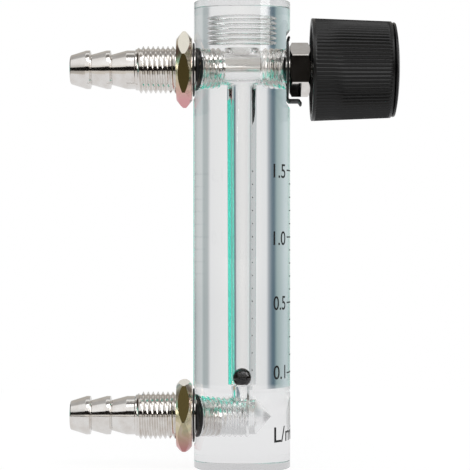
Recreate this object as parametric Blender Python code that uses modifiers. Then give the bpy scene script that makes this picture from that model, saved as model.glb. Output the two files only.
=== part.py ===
"""Medical gas flowmeter: a clear acrylic block with a ball float, two hose barbs and a needle valve.

Metres, +Z up. The origin is the centre of the base. The valve knob points along +X and the hose
barbs along -X. Gas enters at the lower barb, lifts the ball in the tapered bore, passes the
needle and leaves at the upper barb.
"""

import math

import bmesh
import bpy

# Gaps between pieces
SEAT_GAP = 0.00025
THREAD_GAP = 0.00025
SEAL_GAP = 0.0001

# Clear body
BODY_DIAMETER = 0.0245
BODY_HEIGHT = 0.118
BODY_EDGE = 0.0005
LOWER_PORT_HEIGHT = 0.013
UPPER_PORT_DROP = 0.017
BACK_SPOT_DIAMETER = 0.0150
BACK_SPOT_DEPTH = 0.0004
FRONT_SPOT_DIAMETER = 0.0204
FRONT_SPOT_DEPTH = 0.00115
TAP_DRILL_DIAMETER = 0.0088
DRILL_POINT_ANGLE = math.radians(118)
LOWER_DRILL_OVERRUN = 0.0057

# Ball float and its bore
BALL_DIAMETER = 0.0047
BALL_LIFT = 0.00025
FLOAT_CLEARANCE_LOW = 0.0002
FLOAT_CLEARANCE_HIGH = 0.0006
SEAT_LAND = 0.0005
SEAT_ABOVE_PORT = 0.0082

# Threaded shanks and seals in the ports
PORT_THREAD_DIAMETER = 0.0101
PORT_THREAD_PITCH = 0.001
SHANK_LENGTH = 0.00855
COUNTERBORE_DEPTH = 0.00315
SEAL_SECTION = 0.0018
SEAL_OUTER_DIAMETER = 0.0109
BACK_SEAL_LENGTH = 0.0029

# Hose fittings
BARB_COUNT = 2
BARB_TIP_DIAMETER = 0.0074
BARB_NECK_DIAMETER = 0.0077
BARB_CREST_DIAMETER = 0.0098
BARB_CONE_LENGTH = 0.00385
BARB_LAND_LENGTH = 0.0010
BARB_BACK_LENGTH = 0.0003
TIP_EDGE = 0.0002
TAIL_LENGTH = 0.0023
NOZZLE_BORE_DIAMETER = 0.0044
MOUNT_THREAD_DIAMETER = 0.0120
MOUNT_THREAD_PITCH = 0.00125
MOUNT_THREAD_LENGTH = 0.0149
THREAD_LEAD_IN = 0.0006

# Panel nuts and their washers
NUT_ACROSS_FLATS = 0.0170
NUT_THICKNESS = 0.0039
NUT_FACE_SHARE = 0.93
NUT_CHAMFER_ANGLE = math.radians(40)
OUTLET_NUT_TURN = math.radians(18.3)
INLET_NUT_TURN = math.radians(55.6)
WASHER_DIAMETER = 0.0136
WASHER_THICKNESS = 0.0004

# Needle valve
VALVE_SEAT_DIAMETER = 0.0030
VALVE_SEAT_LENGTH = 0.0016
NEEDLE_TIP_DIAMETER = 0.0009
NEEDLE_STEM_DIAMETER = 0.0031
NEEDLE_CONE_LENGTH = 0.0036
NEEDLE_REACH = 0.0027
SPINDLE_DIAMETER = 0.0050
SPINDLE_THREAD_PITCH = 0.00075
SPINDLE_THREAD_LENGTH = 0.0040
SPINDLE_THREAD_INSET = 0.0010
SPINDLE_SEAL_SECTION = 0.0010
SPINDLE_SEAL_INSET = 0.0043

# Valve bonnet and its tab washer
BONNET_INNER_REACH = 0.0072
BONNET_ACROSS_FLATS = 0.0120
BONNET_HEX_LENGTH = 0.00525
BONNET_TURN = math.radians(27.0)
TAB_WASHER_DIAMETER = 0.0152
TAB_WASHER_THICKNESS = 0.00045
TAB_HALF_WIDTH = 0.0032
LONG_TAB_REACH = 0.0026
TAB_BEND = 0.0004
TAB_TAIL_DROP = 0.0009
CURL_REACH = 0.0005
CURL_RISE = 0.0009

# Knob
KNOB_RIM_DIAMETER = 0.0261
KNOB_END_DIAMETER = 0.0245
KNOB_LENGTH = 0.0203
KNOB_TO_BONNET = 0.0003
KNOB_RIBS = 80
KNOB_RIB_DEPTH = 0.00032
KNOB_LIP_LENGTH = 0.0005
KNOB_RIB_RUNOUT = 0.0007
KNOB_WALL = 0.0014
KNOB_DRAFT = 0.0005
HUB_DIAMETER = 0.0092
HUB_INSET = 0.0012
KNOB_WEB_INSET = 0.0040
KNOB_WEB_THICKNESS = 0.0020
CAP_RECESS_DIAMETER = 0.0190

# Cap and screw of the knob
CAP_DIAMETER = 0.0240
CAP_RIM_THICKNESS = 0.00065
CAP_DOME_HEIGHT = 0.0009
CAP_SPIGOT_WALL = 0.0010
CAP_SPIGOT_LENGTH = 0.0015
SCREW_DIAMETER = 0.0030
SCREW_HEAD_DIAMETER = 0.0055
SCREW_HEAD_HEIGHT = 0.0012
SCREW_LENGTH = 0.0080
SCREW_SLOT_WIDTH = 0.0008
SCREW_SLOT_DEPTH = 0.0006

# Top plug
PLUG_DIAMETER = 0.0120
PLUG_PITCH = 0.00125
PLUG_LENGTH = 0.0108
PLUG_HEAD_LENGTH = 0.0036
PLUG_RELIEF_DIAMETER = 0.0060

# Coloured strip behind the bore, turned from the barb side towards +Y, away from the scale
STRIP_WIDTH = 0.0100
STRIP_TURN = math.radians(23.4)
STRIP_THICKNESS = 0.00015
STRIP_MARGIN = 0.0007
STRIP_COLUMNS = 12

# Facets of round shapes
BODY_FACETS = 40
PORT_FACETS = 20
BORE_FACETS = 20
SEAL_FACETS = 20
SEAL_SECTION_FACETS = 8
SMOOTH_ANGLE = math.radians(32)
MERGE_DISTANCE = 0.00001
CUT_EXTRA = 0.002

# Depth of a 60 degree thread ridge for each unit of pitch
RIDGE_DEPTH_RATIO = 0.6134

# Places worked out from the sizes above
BODY_RADIUS = BODY_DIAMETER / 2
UPPER_PORT_HEIGHT = BODY_HEIGHT - UPPER_PORT_DROP
BACK_FACE_X = BACK_SPOT_DEPTH - BODY_RADIUS
FRONT_FACE_X = BODY_RADIUS - FRONT_SPOT_DEPTH
SHANK_END_X = BACK_FACE_X + SHANK_LENGTH
BACK_FLOOR_X = BACK_FACE_X + COUNTERBORE_DEPTH
FRONT_FLOOR_X = FRONT_FACE_X - SEAL_SECTION - 2 * SEAL_GAP
TAP_RADIUS = TAP_DRILL_DIAMETER / 2
PORT_THREAD_RADIUS = PORT_THREAD_DIAMETER / 2
PORT_HOLE_RADIUS = PORT_THREAD_RADIUS + THREAD_GAP
COUNTERBORE_RADIUS = SEAL_OUTER_DIAMETER / 2 + SEAL_GAP
SEAL_MID_RADIUS = (SEAL_OUTER_DIAMETER - SEAL_SECTION) / 2
RELIEF_RADIUS = SEAL_OUTER_DIAMETER / 2 - SEAL_SECTION - SEAL_GAP

BALL_RADIUS = BALL_DIAMETER / 2
SEAT_RADIUS = BALL_RADIUS - SEAT_LAND
SEAT_HEIGHT = LOWER_PORT_HEIGHT + SEAT_ABOVE_PORT
BORE_LOW_RADIUS = BALL_RADIUS + FLOAT_CLEARANCE_LOW / 2
BORE_HIGH_RADIUS = BALL_RADIUS + FLOAT_CLEARANCE_HIGH / 2
BALL_HEIGHT = SEAT_HEIGHT + math.sqrt(BALL_RADIUS**2 - SEAT_RADIUS**2) + BALL_LIFT

NUT_FACE_X = BACK_FACE_X - WASHER_THICKNESS - 2 * SEAT_GAP
MOUNT_SHOULDER_X = BACK_FACE_X - SEAT_GAP
MOUNT_THREAD_RADIUS = MOUNT_THREAD_DIAMETER / 2

HEX_START_X = FRONT_FACE_X + TAB_WASHER_THICKNESS + 2 * SEAT_GAP
HEX_END_X = HEX_START_X + BONNET_HEX_LENGTH
BONNET_INNER_X = FRONT_FACE_X - BONNET_INNER_REACH
SPINDLE_RADIUS = SPINDLE_DIAMETER / 2
SPINDLE_BORE_RADIUS = SPINDLE_RADIUS + THREAD_GAP
SPINDLE_SEAL_X = HEX_END_X - SPINDLE_SEAL_INSET
NEEDLE_TIP_X = SHANK_END_X - NEEDLE_REACH

KNOB_RIM_X = HEX_END_X + KNOB_TO_BONNET
KNOB_END_X = KNOB_RIM_X + KNOB_LENGTH
HUB_START_X = KNOB_RIM_X + HUB_INSET
WEB_FACE_X = KNOB_END_X - KNOB_WEB_INSET + KNOB_WEB_THICKNESS
WEB_FLOOR_X = KNOB_END_X - KNOB_WEB_INSET
SPINDLE_END_X = WEB_FLOOR_X - SEAT_GAP
CAP_FACE_X = KNOB_END_X + SEAT_GAP
SCREW_HEAD_X = WEB_FACE_X + SEAT_GAP

SOCKET_FLOOR_Z = BODY_HEIGHT - PLUG_LENGTH - 2 * SEAT_GAP
PLUG_BOTTOM_Z = SOCKET_FLOOR_Z + SEAT_GAP
PLUG_RADIUS = PLUG_DIAMETER / 2


def clear_scene():
    """Remove every object that the scene starts with."""
    for item in list(bpy.data.objects):
        bpy.data.objects.remove(item, do_unlink=True)


def new_collection(name):
    """Return a new collection linked to the scene."""
    collection = bpy.data.collections.new(name)
    bpy.context.scene.collection.children.link(collection)
    return collection


def new_material(name, colour, roughness, metallic=0.0, transmission=0.0):
    """Return a Principled material with the given colour and finish."""
    material = bpy.data.materials.new(name)
    material.use_nodes = True
    shader = material.node_tree.nodes["Principled BSDF"]
    shader.inputs["Base Color"].default_value = (*colour, 1.0)
    shader.inputs["Roughness"].default_value = roughness
    shader.inputs["Metallic"].default_value = metallic
    shader.inputs["Transmission Weight"].default_value = transmission
    material.diffuse_color = (*colour, 1.0)
    return material


def new_axis(name, height, collection):
    """Return an empty whose local Z runs along +X at the given height."""
    axis = bpy.data.objects.new(name, None)
    axis.empty_display_size = BODY_RADIUS
    axis.location = (0.0, 0.0, height)
    axis.rotation_euler = (0.0, math.pi / 2, 0.0)
    collection.objects.link(axis)
    return axis


def place(piece, collection, material=None, parent=None):
    """Link a piece to its collection, with its material and parent."""
    collection.objects.link(piece)
    if material is not None:
        piece.data.materials.append(material)
    piece.parent = parent
    return piece


def turned(name, profile, facets, hollow=False):
    """Return a turned piece. The profile lists (radius, height), outer side from top to bottom."""
    mesh = bpy.data.meshes.new(name)
    points = [(radius, 0.0, height) for radius, height in profile]
    edges = [(i, i + 1) for i in range(len(points) - 1)]
    if hollow:
        edges.append((len(points) - 1, 0))
    mesh.from_pydata(points, edges, [])
    piece = bpy.data.objects.new(name, mesh)
    screw = piece.modifiers.new("Turn", "SCREW")
    screw.axis = "Z"
    screw.angle = math.tau
    screw.steps = facets
    screw.render_steps = facets
    screw.use_merge_vertices = True
    screw.merge_threshold = MERGE_DISTANCE
    return piece


def boolean(piece, tool, operation="DIFFERENCE"):
    """Add an exact Boolean to a piece."""
    modifier = piece.modifiers.new(f"{operation.title()} {tool.name}", "BOOLEAN")
    modifier.operation = operation
    modifier.solver = "EXACT"
    modifier.object = tool


def hide_tool(tool):
    """Show a cutter as a wire only."""
    tool.hide_render = True
    tool.display_type = "WIRE"


def thread_ridges(radius, pitch, top, bottom):
    """Profile points of ring-shaped thread ridges that run down from top to bottom."""
    depth = pitch * RIDGE_DEPTH_RATIO
    count = max(1, int((top - bottom) / pitch))
    points = []
    for ridge in range(count):
        points.append((radius - depth, top - ridge * pitch))
        points.append((radius, top - (ridge + 0.5) * pitch))
    points.append((radius - depth, top - count * pitch))
    return points


def hexagon_tool(name, across_flats, low, high, turn, collection, parent):
    """Return a hexagonal prism along local Z, for cutting hexagons from turned blanks."""
    mesh = bpy.data.meshes.new(name)
    shape = bmesh.new()
    radius = across_flats / math.sqrt(3)
    depth = high - low
    bmesh.ops.create_cone(
        shape, cap_ends=True, segments=6, radius1=radius, radius2=radius, depth=depth
    )
    bmesh.ops.translate(shape, verts=shape.verts, vec=(0.0, 0.0, (high + low) / 2))
    shape.to_mesh(mesh)
    shape.free()
    tool = place(bpy.data.objects.new(name, mesh), collection, parent=parent)
    tool.rotation_euler = (0.0, 0.0, -turn)
    hide_tool(tool)
    return tool


def slot_tool(name, width, length, floor, top, collection, parent):
    """Return a box that cuts a screwdriver slot from floor to top along local Z."""
    mesh = bpy.data.meshes.new(name)
    shape = bmesh.new()
    bmesh.ops.create_cube(shape, size=1.0)
    bmesh.ops.scale(shape, verts=shape.verts, vec=(width, length, top - floor))
    bmesh.ops.translate(shape, verts=shape.verts, vec=(0.0, 0.0, (top + floor) / 2))
    shape.to_mesh(mesh)
    shape.free()
    tool = place(bpy.data.objects.new(name, mesh), collection, parent=parent)
    hide_tool(tool)
    return tool


def back_port_steps(inner_x, inner_radius):
    """Profile of a back port from its inner end out through the spot face."""
    inner_thread_x = SHANK_END_X + SEAT_GAP
    return [
        (inner_radius, inner_x),
        (inner_radius, inner_thread_x),
        (PORT_HOLE_RADIUS, inner_thread_x),
        (PORT_HOLE_RADIUS, BACK_FLOOR_X),
        (COUNTERBORE_RADIUS, BACK_FLOOR_X),
        (COUNTERBORE_RADIUS, BACK_FACE_X),
        (BACK_SPOT_DIAMETER / 2, BACK_FACE_X),
        (BACK_SPOT_DIAMETER / 2, -BODY_RADIUS - CUT_EXTRA),
        (0.0, -BODY_RADIUS - CUT_EXTRA),
    ]


def upper_port_tool(collection, axis):
    """Cutter of the upper cross hole, from the valve's spot face through to the back."""
    front_x = BODY_RADIUS + CUT_EXTRA
    inner_thread_x = BONNET_INNER_X - SEAT_GAP
    profile = [
        (0.0, front_x),
        (FRONT_SPOT_DIAMETER / 2, front_x),
        (FRONT_SPOT_DIAMETER / 2, FRONT_FACE_X),
        (COUNTERBORE_RADIUS, FRONT_FACE_X),
        (COUNTERBORE_RADIUS, FRONT_FLOOR_X),
        (PORT_HOLE_RADIUS, FRONT_FLOOR_X),
        (PORT_HOLE_RADIUS, inner_thread_x),
    ] + back_port_steps(inner_thread_x, TAP_RADIUS)
    tool = place(turned("upper_port_tool", profile, PORT_FACETS), collection, parent=axis)
    hide_tool(tool)
    return tool


def lower_port_tool(collection, axis):
    """Cutter of the lower blind hole, with its drill point."""
    drill_x = SHANK_END_X + LOWER_DRILL_OVERRUN
    point_x = drill_x + TAP_RADIUS / math.tan(DRILL_POINT_ANGLE / 2)
    profile = [(0.0, point_x)] + back_port_steps(drill_x, TAP_RADIUS)
    tool = place(turned("lower_port_tool", profile, PORT_FACETS), collection, parent=axis)
    hide_tool(tool)
    return tool


def bore_tool(collection):
    """Cutter of the tapered bore, its seat and the passage up from the lower port."""
    profile = [
        (0.0, UPPER_PORT_HEIGHT),
        (BORE_HIGH_RADIUS, UPPER_PORT_HEIGHT),
        (BORE_LOW_RADIUS, SEAT_HEIGHT),
        (SEAT_RADIUS, SEAT_HEIGHT),
        (SEAT_RADIUS, LOWER_PORT_HEIGHT),
        (0.0, LOWER_PORT_HEIGHT),
    ]
    tool = place(turned("bore_tool", profile, BORE_FACETS), collection)
    hide_tool(tool)
    return tool


def socket_tool(collection):
    """Cutter of the threaded socket for the top plug, open down into the upper chamber."""
    radius = PLUG_RADIUS + THREAD_GAP
    profile = [
        (0.0, BODY_HEIGHT + CUT_EXTRA),
        (radius, BODY_HEIGHT + CUT_EXTRA),
        (radius, SOCKET_FLOOR_Z),
        (PLUG_RELIEF_DIAMETER / 2, SOCKET_FLOOR_Z),
        (PLUG_RELIEF_DIAMETER / 2, UPPER_PORT_HEIGHT),
        (0.0, UPPER_PORT_HEIGHT),
    ]
    tool = place(turned("socket_tool", profile, PORT_FACETS), collection)
    hide_tool(tool)
    return tool


def build_body(parts, tools, upper_axis, lower_axis, material):
    """Clear acrylic bar, drilled and tapped for everything that screws into it."""
    profile = [
        (0.0, BODY_HEIGHT),
        (BODY_RADIUS - BODY_EDGE, BODY_HEIGHT),
        (BODY_RADIUS, BODY_HEIGHT - BODY_EDGE),
        (BODY_RADIUS, BODY_EDGE),
        (BODY_RADIUS - BODY_EDGE, 0.0),
        (0.0, 0.0),
    ]
    body = place(turned("body", profile, BODY_FACETS), parts, material)
    boolean(body, bore_tool(tools))
    boolean(body, socket_tool(tools))
    boolean(body, upper_port_tool(tools, upper_axis))
    boolean(body, lower_port_tool(tools, lower_axis))
    return body


def build_top_plug(parts, material):
    """Threaded plug that closes the bore at the top, cut off flush and cemented."""
    top = PLUG_BOTTOM_Z + PLUG_LENGTH
    thread_top = top - PLUG_HEAD_LENGTH
    root = PLUG_RADIUS - PLUG_PITCH * RIDGE_DEPTH_RATIO
    profile = [(0.0, top), (PLUG_RADIUS, top), (PLUG_RADIUS, thread_top)]
    profile += thread_ridges(PLUG_RADIUS, PLUG_PITCH, thread_top, PLUG_BOTTOM_Z)
    profile += [(root, PLUG_BOTTOM_Z), (0.0, PLUG_BOTTOM_Z)]
    return place(turned("top_plug", profile, PORT_FACETS), parts, material)


def build_ball(parts, material):
    """Black ball float, just above its seat."""
    mesh = bpy.data.meshes.new("float_ball")
    shape = bmesh.new()
    bmesh.ops.create_uvsphere(
        shape, u_segments=BORE_FACETS, v_segments=BORE_FACETS // 2, radius=BALL_RADIUS
    )
    shape.to_mesh(mesh)
    shape.free()
    mesh.shade_smooth()
    ball = place(bpy.data.objects.new("float_ball", mesh), parts, material)
    ball.location = (0.0, 0.0, BALL_HEIGHT)
    return ball


def barb_profile():
    """Outer profile of the hose barb, from its plain tail out to the tip."""
    crest = BARB_CREST_DIAMETER / 2
    neck = BARB_NECK_DIAMETER / 2
    tip = BARB_TIP_DIAMETER / 2
    x = MOUNT_SHOULDER_X - MOUNT_THREAD_LENGTH
    points = [(crest, x), (crest, x - TAIL_LENGTH)]
    x -= TAIL_LENGTH + BARB_CONE_LENGTH
    points.append((neck, x))
    for barb in range(BARB_COUNT):
        last = barb == BARB_COUNT - 1
        points.append((crest, x - BARB_BACK_LENGTH))
        points.append((crest, x - BARB_BACK_LENGTH - BARB_LAND_LENGTH))
        x -= BARB_BACK_LENGTH + BARB_LAND_LENGTH + BARB_CONE_LENGTH
        points.append((tip if last else neck, x))
    points.append((tip - TIP_EDGE, x - TIP_EDGE))
    return points


def build_fitting(name, axis, parts, material, seat_radius):
    """Plated hose fitting: port thread, seal groove, panel thread and barbs in one turned piece."""
    bore = NOZZLE_BORE_DIAMETER / 2
    thread_depth = PORT_THREAD_PITCH * RIDGE_DEPTH_RATIO
    spigot_x = BACK_FLOOR_X - BACK_SEAL_LENGTH - 2 * SEAL_GAP
    spigot_radius = COUNTERBORE_RADIUS - THREAD_GAP
    mount_root = MOUNT_THREAD_RADIUS - MOUNT_THREAD_PITCH * RIDGE_DEPTH_RATIO
    mount_end_x = MOUNT_SHOULDER_X - MOUNT_THREAD_LENGTH
    profile = [(PORT_THREAD_RADIUS - thread_depth, SHANK_END_X)]
    profile += thread_ridges(
        PORT_THREAD_RADIUS, PORT_THREAD_PITCH, SHANK_END_X - THREAD_LEAD_IN, BACK_FLOOR_X
    )
    profile += [
        (RELIEF_RADIUS, BACK_FLOOR_X),
        (RELIEF_RADIUS, spigot_x),
        (spigot_radius, spigot_x),
        (spigot_radius, MOUNT_SHOULDER_X),
    ]
    profile += thread_ridges(
        MOUNT_THREAD_RADIUS, MOUNT_THREAD_PITCH, MOUNT_SHOULDER_X, mount_end_x + THREAD_LEAD_IN
    )
    profile += [(mount_root, mount_end_x)]
    profile += barb_profile()
    tip_x = profile[-1][1]
    seat_floor_x = SHANK_END_X - VALVE_SEAT_LENGTH
    profile += [
        (bore, tip_x),
        (bore, seat_floor_x - (bore - seat_radius)),
        (seat_radius, seat_floor_x),
        (seat_radius, SHANK_END_X),
    ]
    return place(turned(name, profile, PORT_FACETS, hollow=True), parts, material, axis)


def build_seal(name, mid_radius, section, x, axis, parts, material):
    """O-ring around a port axis."""
    bpy.ops.mesh.primitive_torus_add(
        major_segments=SEAL_FACETS,
        minor_segments=SEAL_SECTION_FACETS,
        major_radius=mid_radius,
        minor_radius=section / 2,
    )
    ring = bpy.context.object
    ring.name = name
    ring.data.name = name
    for collection in list(ring.users_collection):
        collection.objects.unlink(ring)
    ring.data.shade_smooth()
    place(ring, parts, material, axis)
    ring.location = (0.0, 0.0, x)
    return ring


def build_back_seal(name, axis, parts, material):
    """Long rubber seal between a hose fitting and the body, chamfered at its four edges."""
    outer = SEAL_OUTER_DIAMETER / 2
    inner = outer - SEAL_SECTION
    edge = SEAL_SECTION / 4
    high = BACK_FLOOR_X - SEAL_GAP
    low = high - BACK_SEAL_LENGTH
    profile = [
        (outer, high - edge),
        (outer, low + edge),
        (outer - edge, low),
        (inner + edge, low),
        (inner, low + edge),
        (inner, high - edge),
        (inner + edge, high),
        (outer - edge, high),
    ]
    return place(turned(name, profile, SEAL_FACETS, hollow=True), parts, material, axis)


def build_panel_washer(name, axis, parts, material):
    """Thin black washer between the panel nut and the body."""
    low = NUT_FACE_X + SEAT_GAP
    high = low + WASHER_THICKNESS
    inner = MOUNT_THREAD_RADIUS + THREAD_GAP
    outer = WASHER_DIAMETER / 2
    profile = [(outer, high), (outer, low), (inner, low), (inner, high)]
    return place(turned(name, profile, PORT_FACETS, hollow=True), parts, material, axis)


def build_panel_nut(name, turn, axis, parts, tools, material):
    """Hexagon nut with both faces strongly chamfered, cut from a turned blank."""
    corner = NUT_ACROSS_FLATS / math.sqrt(3)
    face = NUT_ACROSS_FLATS / 2 * NUT_FACE_SHARE
    chamfer = (corner - face) * math.tan(NUT_CHAMFER_ANGLE)
    hole = MOUNT_THREAD_RADIUS + THREAD_GAP
    sink = MOUNT_THREAD_PITCH / 2
    high = NUT_FACE_X
    low = high - NUT_THICKNESS
    profile = [
        (face, high),
        (corner, high - chamfer),
        (corner, low + chamfer),
        (face, low),
        (hole + sink, low),
        (hole, low + sink),
        (hole, high - sink),
        (hole + sink, high),
    ]
    nut = place(turned(name, profile, PORT_FACETS, hollow=True), parts, material, axis)
    prism = hexagon_tool(
        f"{name}_tool", NUT_ACROSS_FLATS, low - CUT_EXTRA, high + CUT_EXTRA, turn, tools, axis
    )
    boolean(nut, prism, "INTERSECT")
    return nut


def build_bonnet(axis, parts, tools, material):
    """Valve bonnet: chamfered hexagon with a threaded shank, bored for the spindle."""
    corner = BONNET_ACROSS_FLATS / math.sqrt(3)
    flat = BONNET_ACROSS_FLATS / 2
    chamfer = (corner - flat) * math.tan(math.radians(30))
    bonnet = place(
        turned(
            "valve_bonnet",
            [
                (0.0, HEX_END_X),
                (flat, HEX_END_X),
                (corner, HEX_END_X - chamfer),
                (corner, HEX_START_X + chamfer),
                (flat, HEX_START_X),
                (0.0, HEX_START_X),
            ],
            PORT_FACETS,
        ),
        parts, material, axis,
    )
    prism = hexagon_tool(
        "bonnet_hexagon_tool", BONNET_ACROSS_FLATS, HEX_START_X - CUT_EXTRA,
        HEX_END_X + CUT_EXTRA, BONNET_TURN, tools, axis,
    )
    boolean(bonnet, prism, "INTERSECT")
    thread_depth = PORT_THREAD_PITCH * RIDGE_DEPTH_RATIO
    shank_root = PORT_THREAD_RADIUS - thread_depth
    thread_top = FRONT_FLOOR_X
    shank_profile = [
        (0.0, HEX_START_X + BONNET_HEX_LENGTH / 2),
        (RELIEF_RADIUS, HEX_START_X + BONNET_HEX_LENGTH / 2),
        (RELIEF_RADIUS, thread_top),
    ]
    shank_profile += thread_ridges(
        PORT_THREAD_RADIUS, PORT_THREAD_PITCH, thread_top, BONNET_INNER_X + THREAD_LEAD_IN
    )
    shank_profile += [(shank_root, BONNET_INNER_X), (0.0, BONNET_INNER_X)]
    shank = place(turned("bonnet_shank_tool", shank_profile, PORT_FACETS), tools, parent=axis)
    hide_tool(shank)
    boolean(bonnet, shank, "UNION")
    bore_profile = [
        (0.0, HEX_END_X + CUT_EXTRA),
        (SPINDLE_BORE_RADIUS, HEX_END_X + CUT_EXTRA),
        (SPINDLE_BORE_RADIUS, BONNET_INNER_X - CUT_EXTRA),
        (0.0, BONNET_INNER_X - CUT_EXTRA),
    ]
    bore = place(turned("bonnet_bore_tool", bore_profile, PORT_FACETS), tools, parent=axis)
    hide_tool(bore)
    boolean(bonnet, bore)
    return bonnet


def extrude_tab(shape, edges, rows, up):
    """Extrude border edges of the washer through rows of (reach along the axis, rise outwards)."""
    reach_before = 0.0
    rise_before = 0.0
    for reach, rise in rows:
        result = bmesh.ops.extrude_edge_only(shape, edges=edges)
        verts = [item for item in result["geom"] if isinstance(item, bmesh.types.BMVert)]
        edges = [item for item in result["geom"] if isinstance(item, bmesh.types.BMEdge)]
        step = (-up * (rise - rise_before), 0.0, reach - reach_before)
        bmesh.ops.translate(shape, verts=verts, vec=step)
        reach_before = reach
        rise_before = rise


def build_tab_washer(axis, parts, material):
    """Sheet washer under the bonnet, with a long tab bent along the hexagon and a short curl."""
    inner = PORT_THREAD_RADIUS + THREAD_GAP
    outer = TAB_WASHER_DIAMETER / 2
    mesh = bpy.data.meshes.new("valve_tab_washer")
    shape = bmesh.new()
    rims = [
        bmesh.ops.create_circle(shape, segments=BODY_FACETS, radius=radius)["verts"]
        for radius in (inner, outer)
    ]
    bmesh.ops.bridge_loops(shape, edges=list(shape.edges))
    outer_rim = set(rims[1])
    tab_rows = [
        (0.0, TAB_BEND),
        (TAB_BEND, 2 * TAB_BEND),
        (LONG_TAB_REACH, 2 * TAB_BEND),
        (LONG_TAB_REACH + TAB_BEND, 3 * TAB_BEND),
        (LONG_TAB_REACH + 2 * TAB_BEND, 2 * TAB_BEND + TAB_TAIL_DROP),
    ]
    curl_rows = [(CURL_REACH / 3, CURL_RISE / 2), (CURL_REACH, CURL_RISE)]
    for up, rows in ((-1.0, tab_rows), (1.0, curl_rows)):
        edges = [
            edge for edge in shape.edges
            if all(
                vert in outer_rim
                and -up * vert.co.x > 0.0
                and abs(vert.co.y) <= TAB_HALF_WIDTH + MERGE_DISTANCE
                for vert in edge.verts
            )
        ]
        extrude_tab(shape, edges, rows, up)
    bmesh.ops.recalc_face_normals(shape, faces=shape.faces)
    shape.to_mesh(mesh)
    shape.free()
    washer = place(bpy.data.objects.new("valve_tab_washer", mesh), parts, material, axis)
    washer.location = (0.0, 0.0, FRONT_FACE_X + SEAT_GAP + TAB_WASHER_THICKNESS / 2)
    sheet = washer.modifiers.new("Sheet", "SOLIDIFY")
    sheet.thickness = TAB_WASHER_THICKNESS
    sheet.offset = 0.0
    sheet.use_even_offset = True
    return washer


def build_spindle(axis, parts, material):
    """Valve spindle with its needle, thread, seal groove and tapped end."""
    needle = NEEDLE_STEM_DIAMETER / 2
    cone_end_x = NEEDLE_TIP_X + NEEDLE_CONE_LENGTH
    thread_low_x = BONNET_INNER_X + SPINDLE_THREAD_INSET
    thread_high_x = thread_low_x + SPINDLE_THREAD_LENGTH
    groove_half = SPINDLE_SEAL_SECTION / 2 + SEAL_GAP
    groove_floor = SPINDLE_BORE_RADIUS - SPINDLE_SEAL_SECTION - 2 * SEAL_GAP
    thread_depth = SPINDLE_THREAD_PITCH * RIDGE_DEPTH_RATIO
    tapped = SCREW_DIAMETER / 2 + SEAL_GAP
    tapped_floor_x = SCREW_HEAD_X - SCREW_LENGTH - SEAT_GAP
    profile = [
        (0.0, tapped_floor_x),
        (tapped, tapped_floor_x),
        (tapped, SPINDLE_END_X),
        (SPINDLE_RADIUS, SPINDLE_END_X),
        (SPINDLE_RADIUS, SPINDLE_SEAL_X + groove_half),
        (groove_floor, SPINDLE_SEAL_X + groove_half),
        (groove_floor, SPINDLE_SEAL_X - groove_half),
        (SPINDLE_RADIUS, SPINDLE_SEAL_X - groove_half),
        (SPINDLE_RADIUS, thread_high_x),
    ]
    profile += thread_ridges(SPINDLE_RADIUS, SPINDLE_THREAD_PITCH, thread_high_x, thread_low_x)
    profile += [
        (SPINDLE_RADIUS - thread_depth, thread_low_x),
        (needle, thread_low_x),
        (needle, cone_end_x),
        (NEEDLE_TIP_DIAMETER / 2, NEEDLE_TIP_X),
        (0.0, NEEDLE_TIP_X),
    ]
    return place(turned("needle_spindle", profile, PORT_FACETS), parts, material, axis)


def knob_blank(name):
    """Ribbed, tapered outside of the knob, lofted ring by ring along local Z."""
    rim = KNOB_RIM_DIAMETER / 2
    end = KNOB_END_DIAMETER / 2

    def radius_at(x):
        share = (x - KNOB_RIM_X) / KNOB_LENGTH
        return rim + (end - rim) * share

    ribs_start = KNOB_RIM_X + KNOB_LIP_LENGTH
    ribs_end = KNOB_END_X - KNOB_LIP_LENGTH
    stations = [
        (KNOB_RIM_X, 0.0),
        (ribs_start, 0.0),
        (ribs_start + KNOB_RIB_RUNOUT / 2, KNOB_RIB_DEPTH),
        (ribs_end - KNOB_RIB_RUNOUT, KNOB_RIB_DEPTH),
        (ribs_end, 0.0),
        (KNOB_END_X, 0.0),
    ]
    count = 2 * KNOB_RIBS
    shape = bmesh.new()
    first = bmesh.ops.create_circle(shape, segments=count, radius=1.0, cap_ends=True)["verts"]
    loop = list(shape.edges)
    for number, (x, depth) in enumerate(stations):
        if number:
            result = bmesh.ops.extrude_edge_only(shape, edges=loop)
            loop = [item for item in result["geom"] if isinstance(item, bmesh.types.BMEdge)]
            verts = [item for item in result["geom"] if isinstance(item, bmesh.types.BMVert)]
        else:
            verts = first
        for vert in verts:
            angle = math.atan2(vert.co.y, vert.co.x)
            rib = round(angle / math.tau * count) % 2
            radius = radius_at(x) - rib * depth
            vert.co = (radius * math.cos(angle), radius * math.sin(angle), x)
    bmesh.ops.edgeloop_fill(shape, edges=loop)
    bmesh.ops.recalc_face_normals(shape, faces=shape.faces)
    mesh = bpy.data.meshes.new(name)
    shape.to_mesh(mesh)
    shape.free()
    return bpy.data.objects.new(name, mesh)


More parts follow.
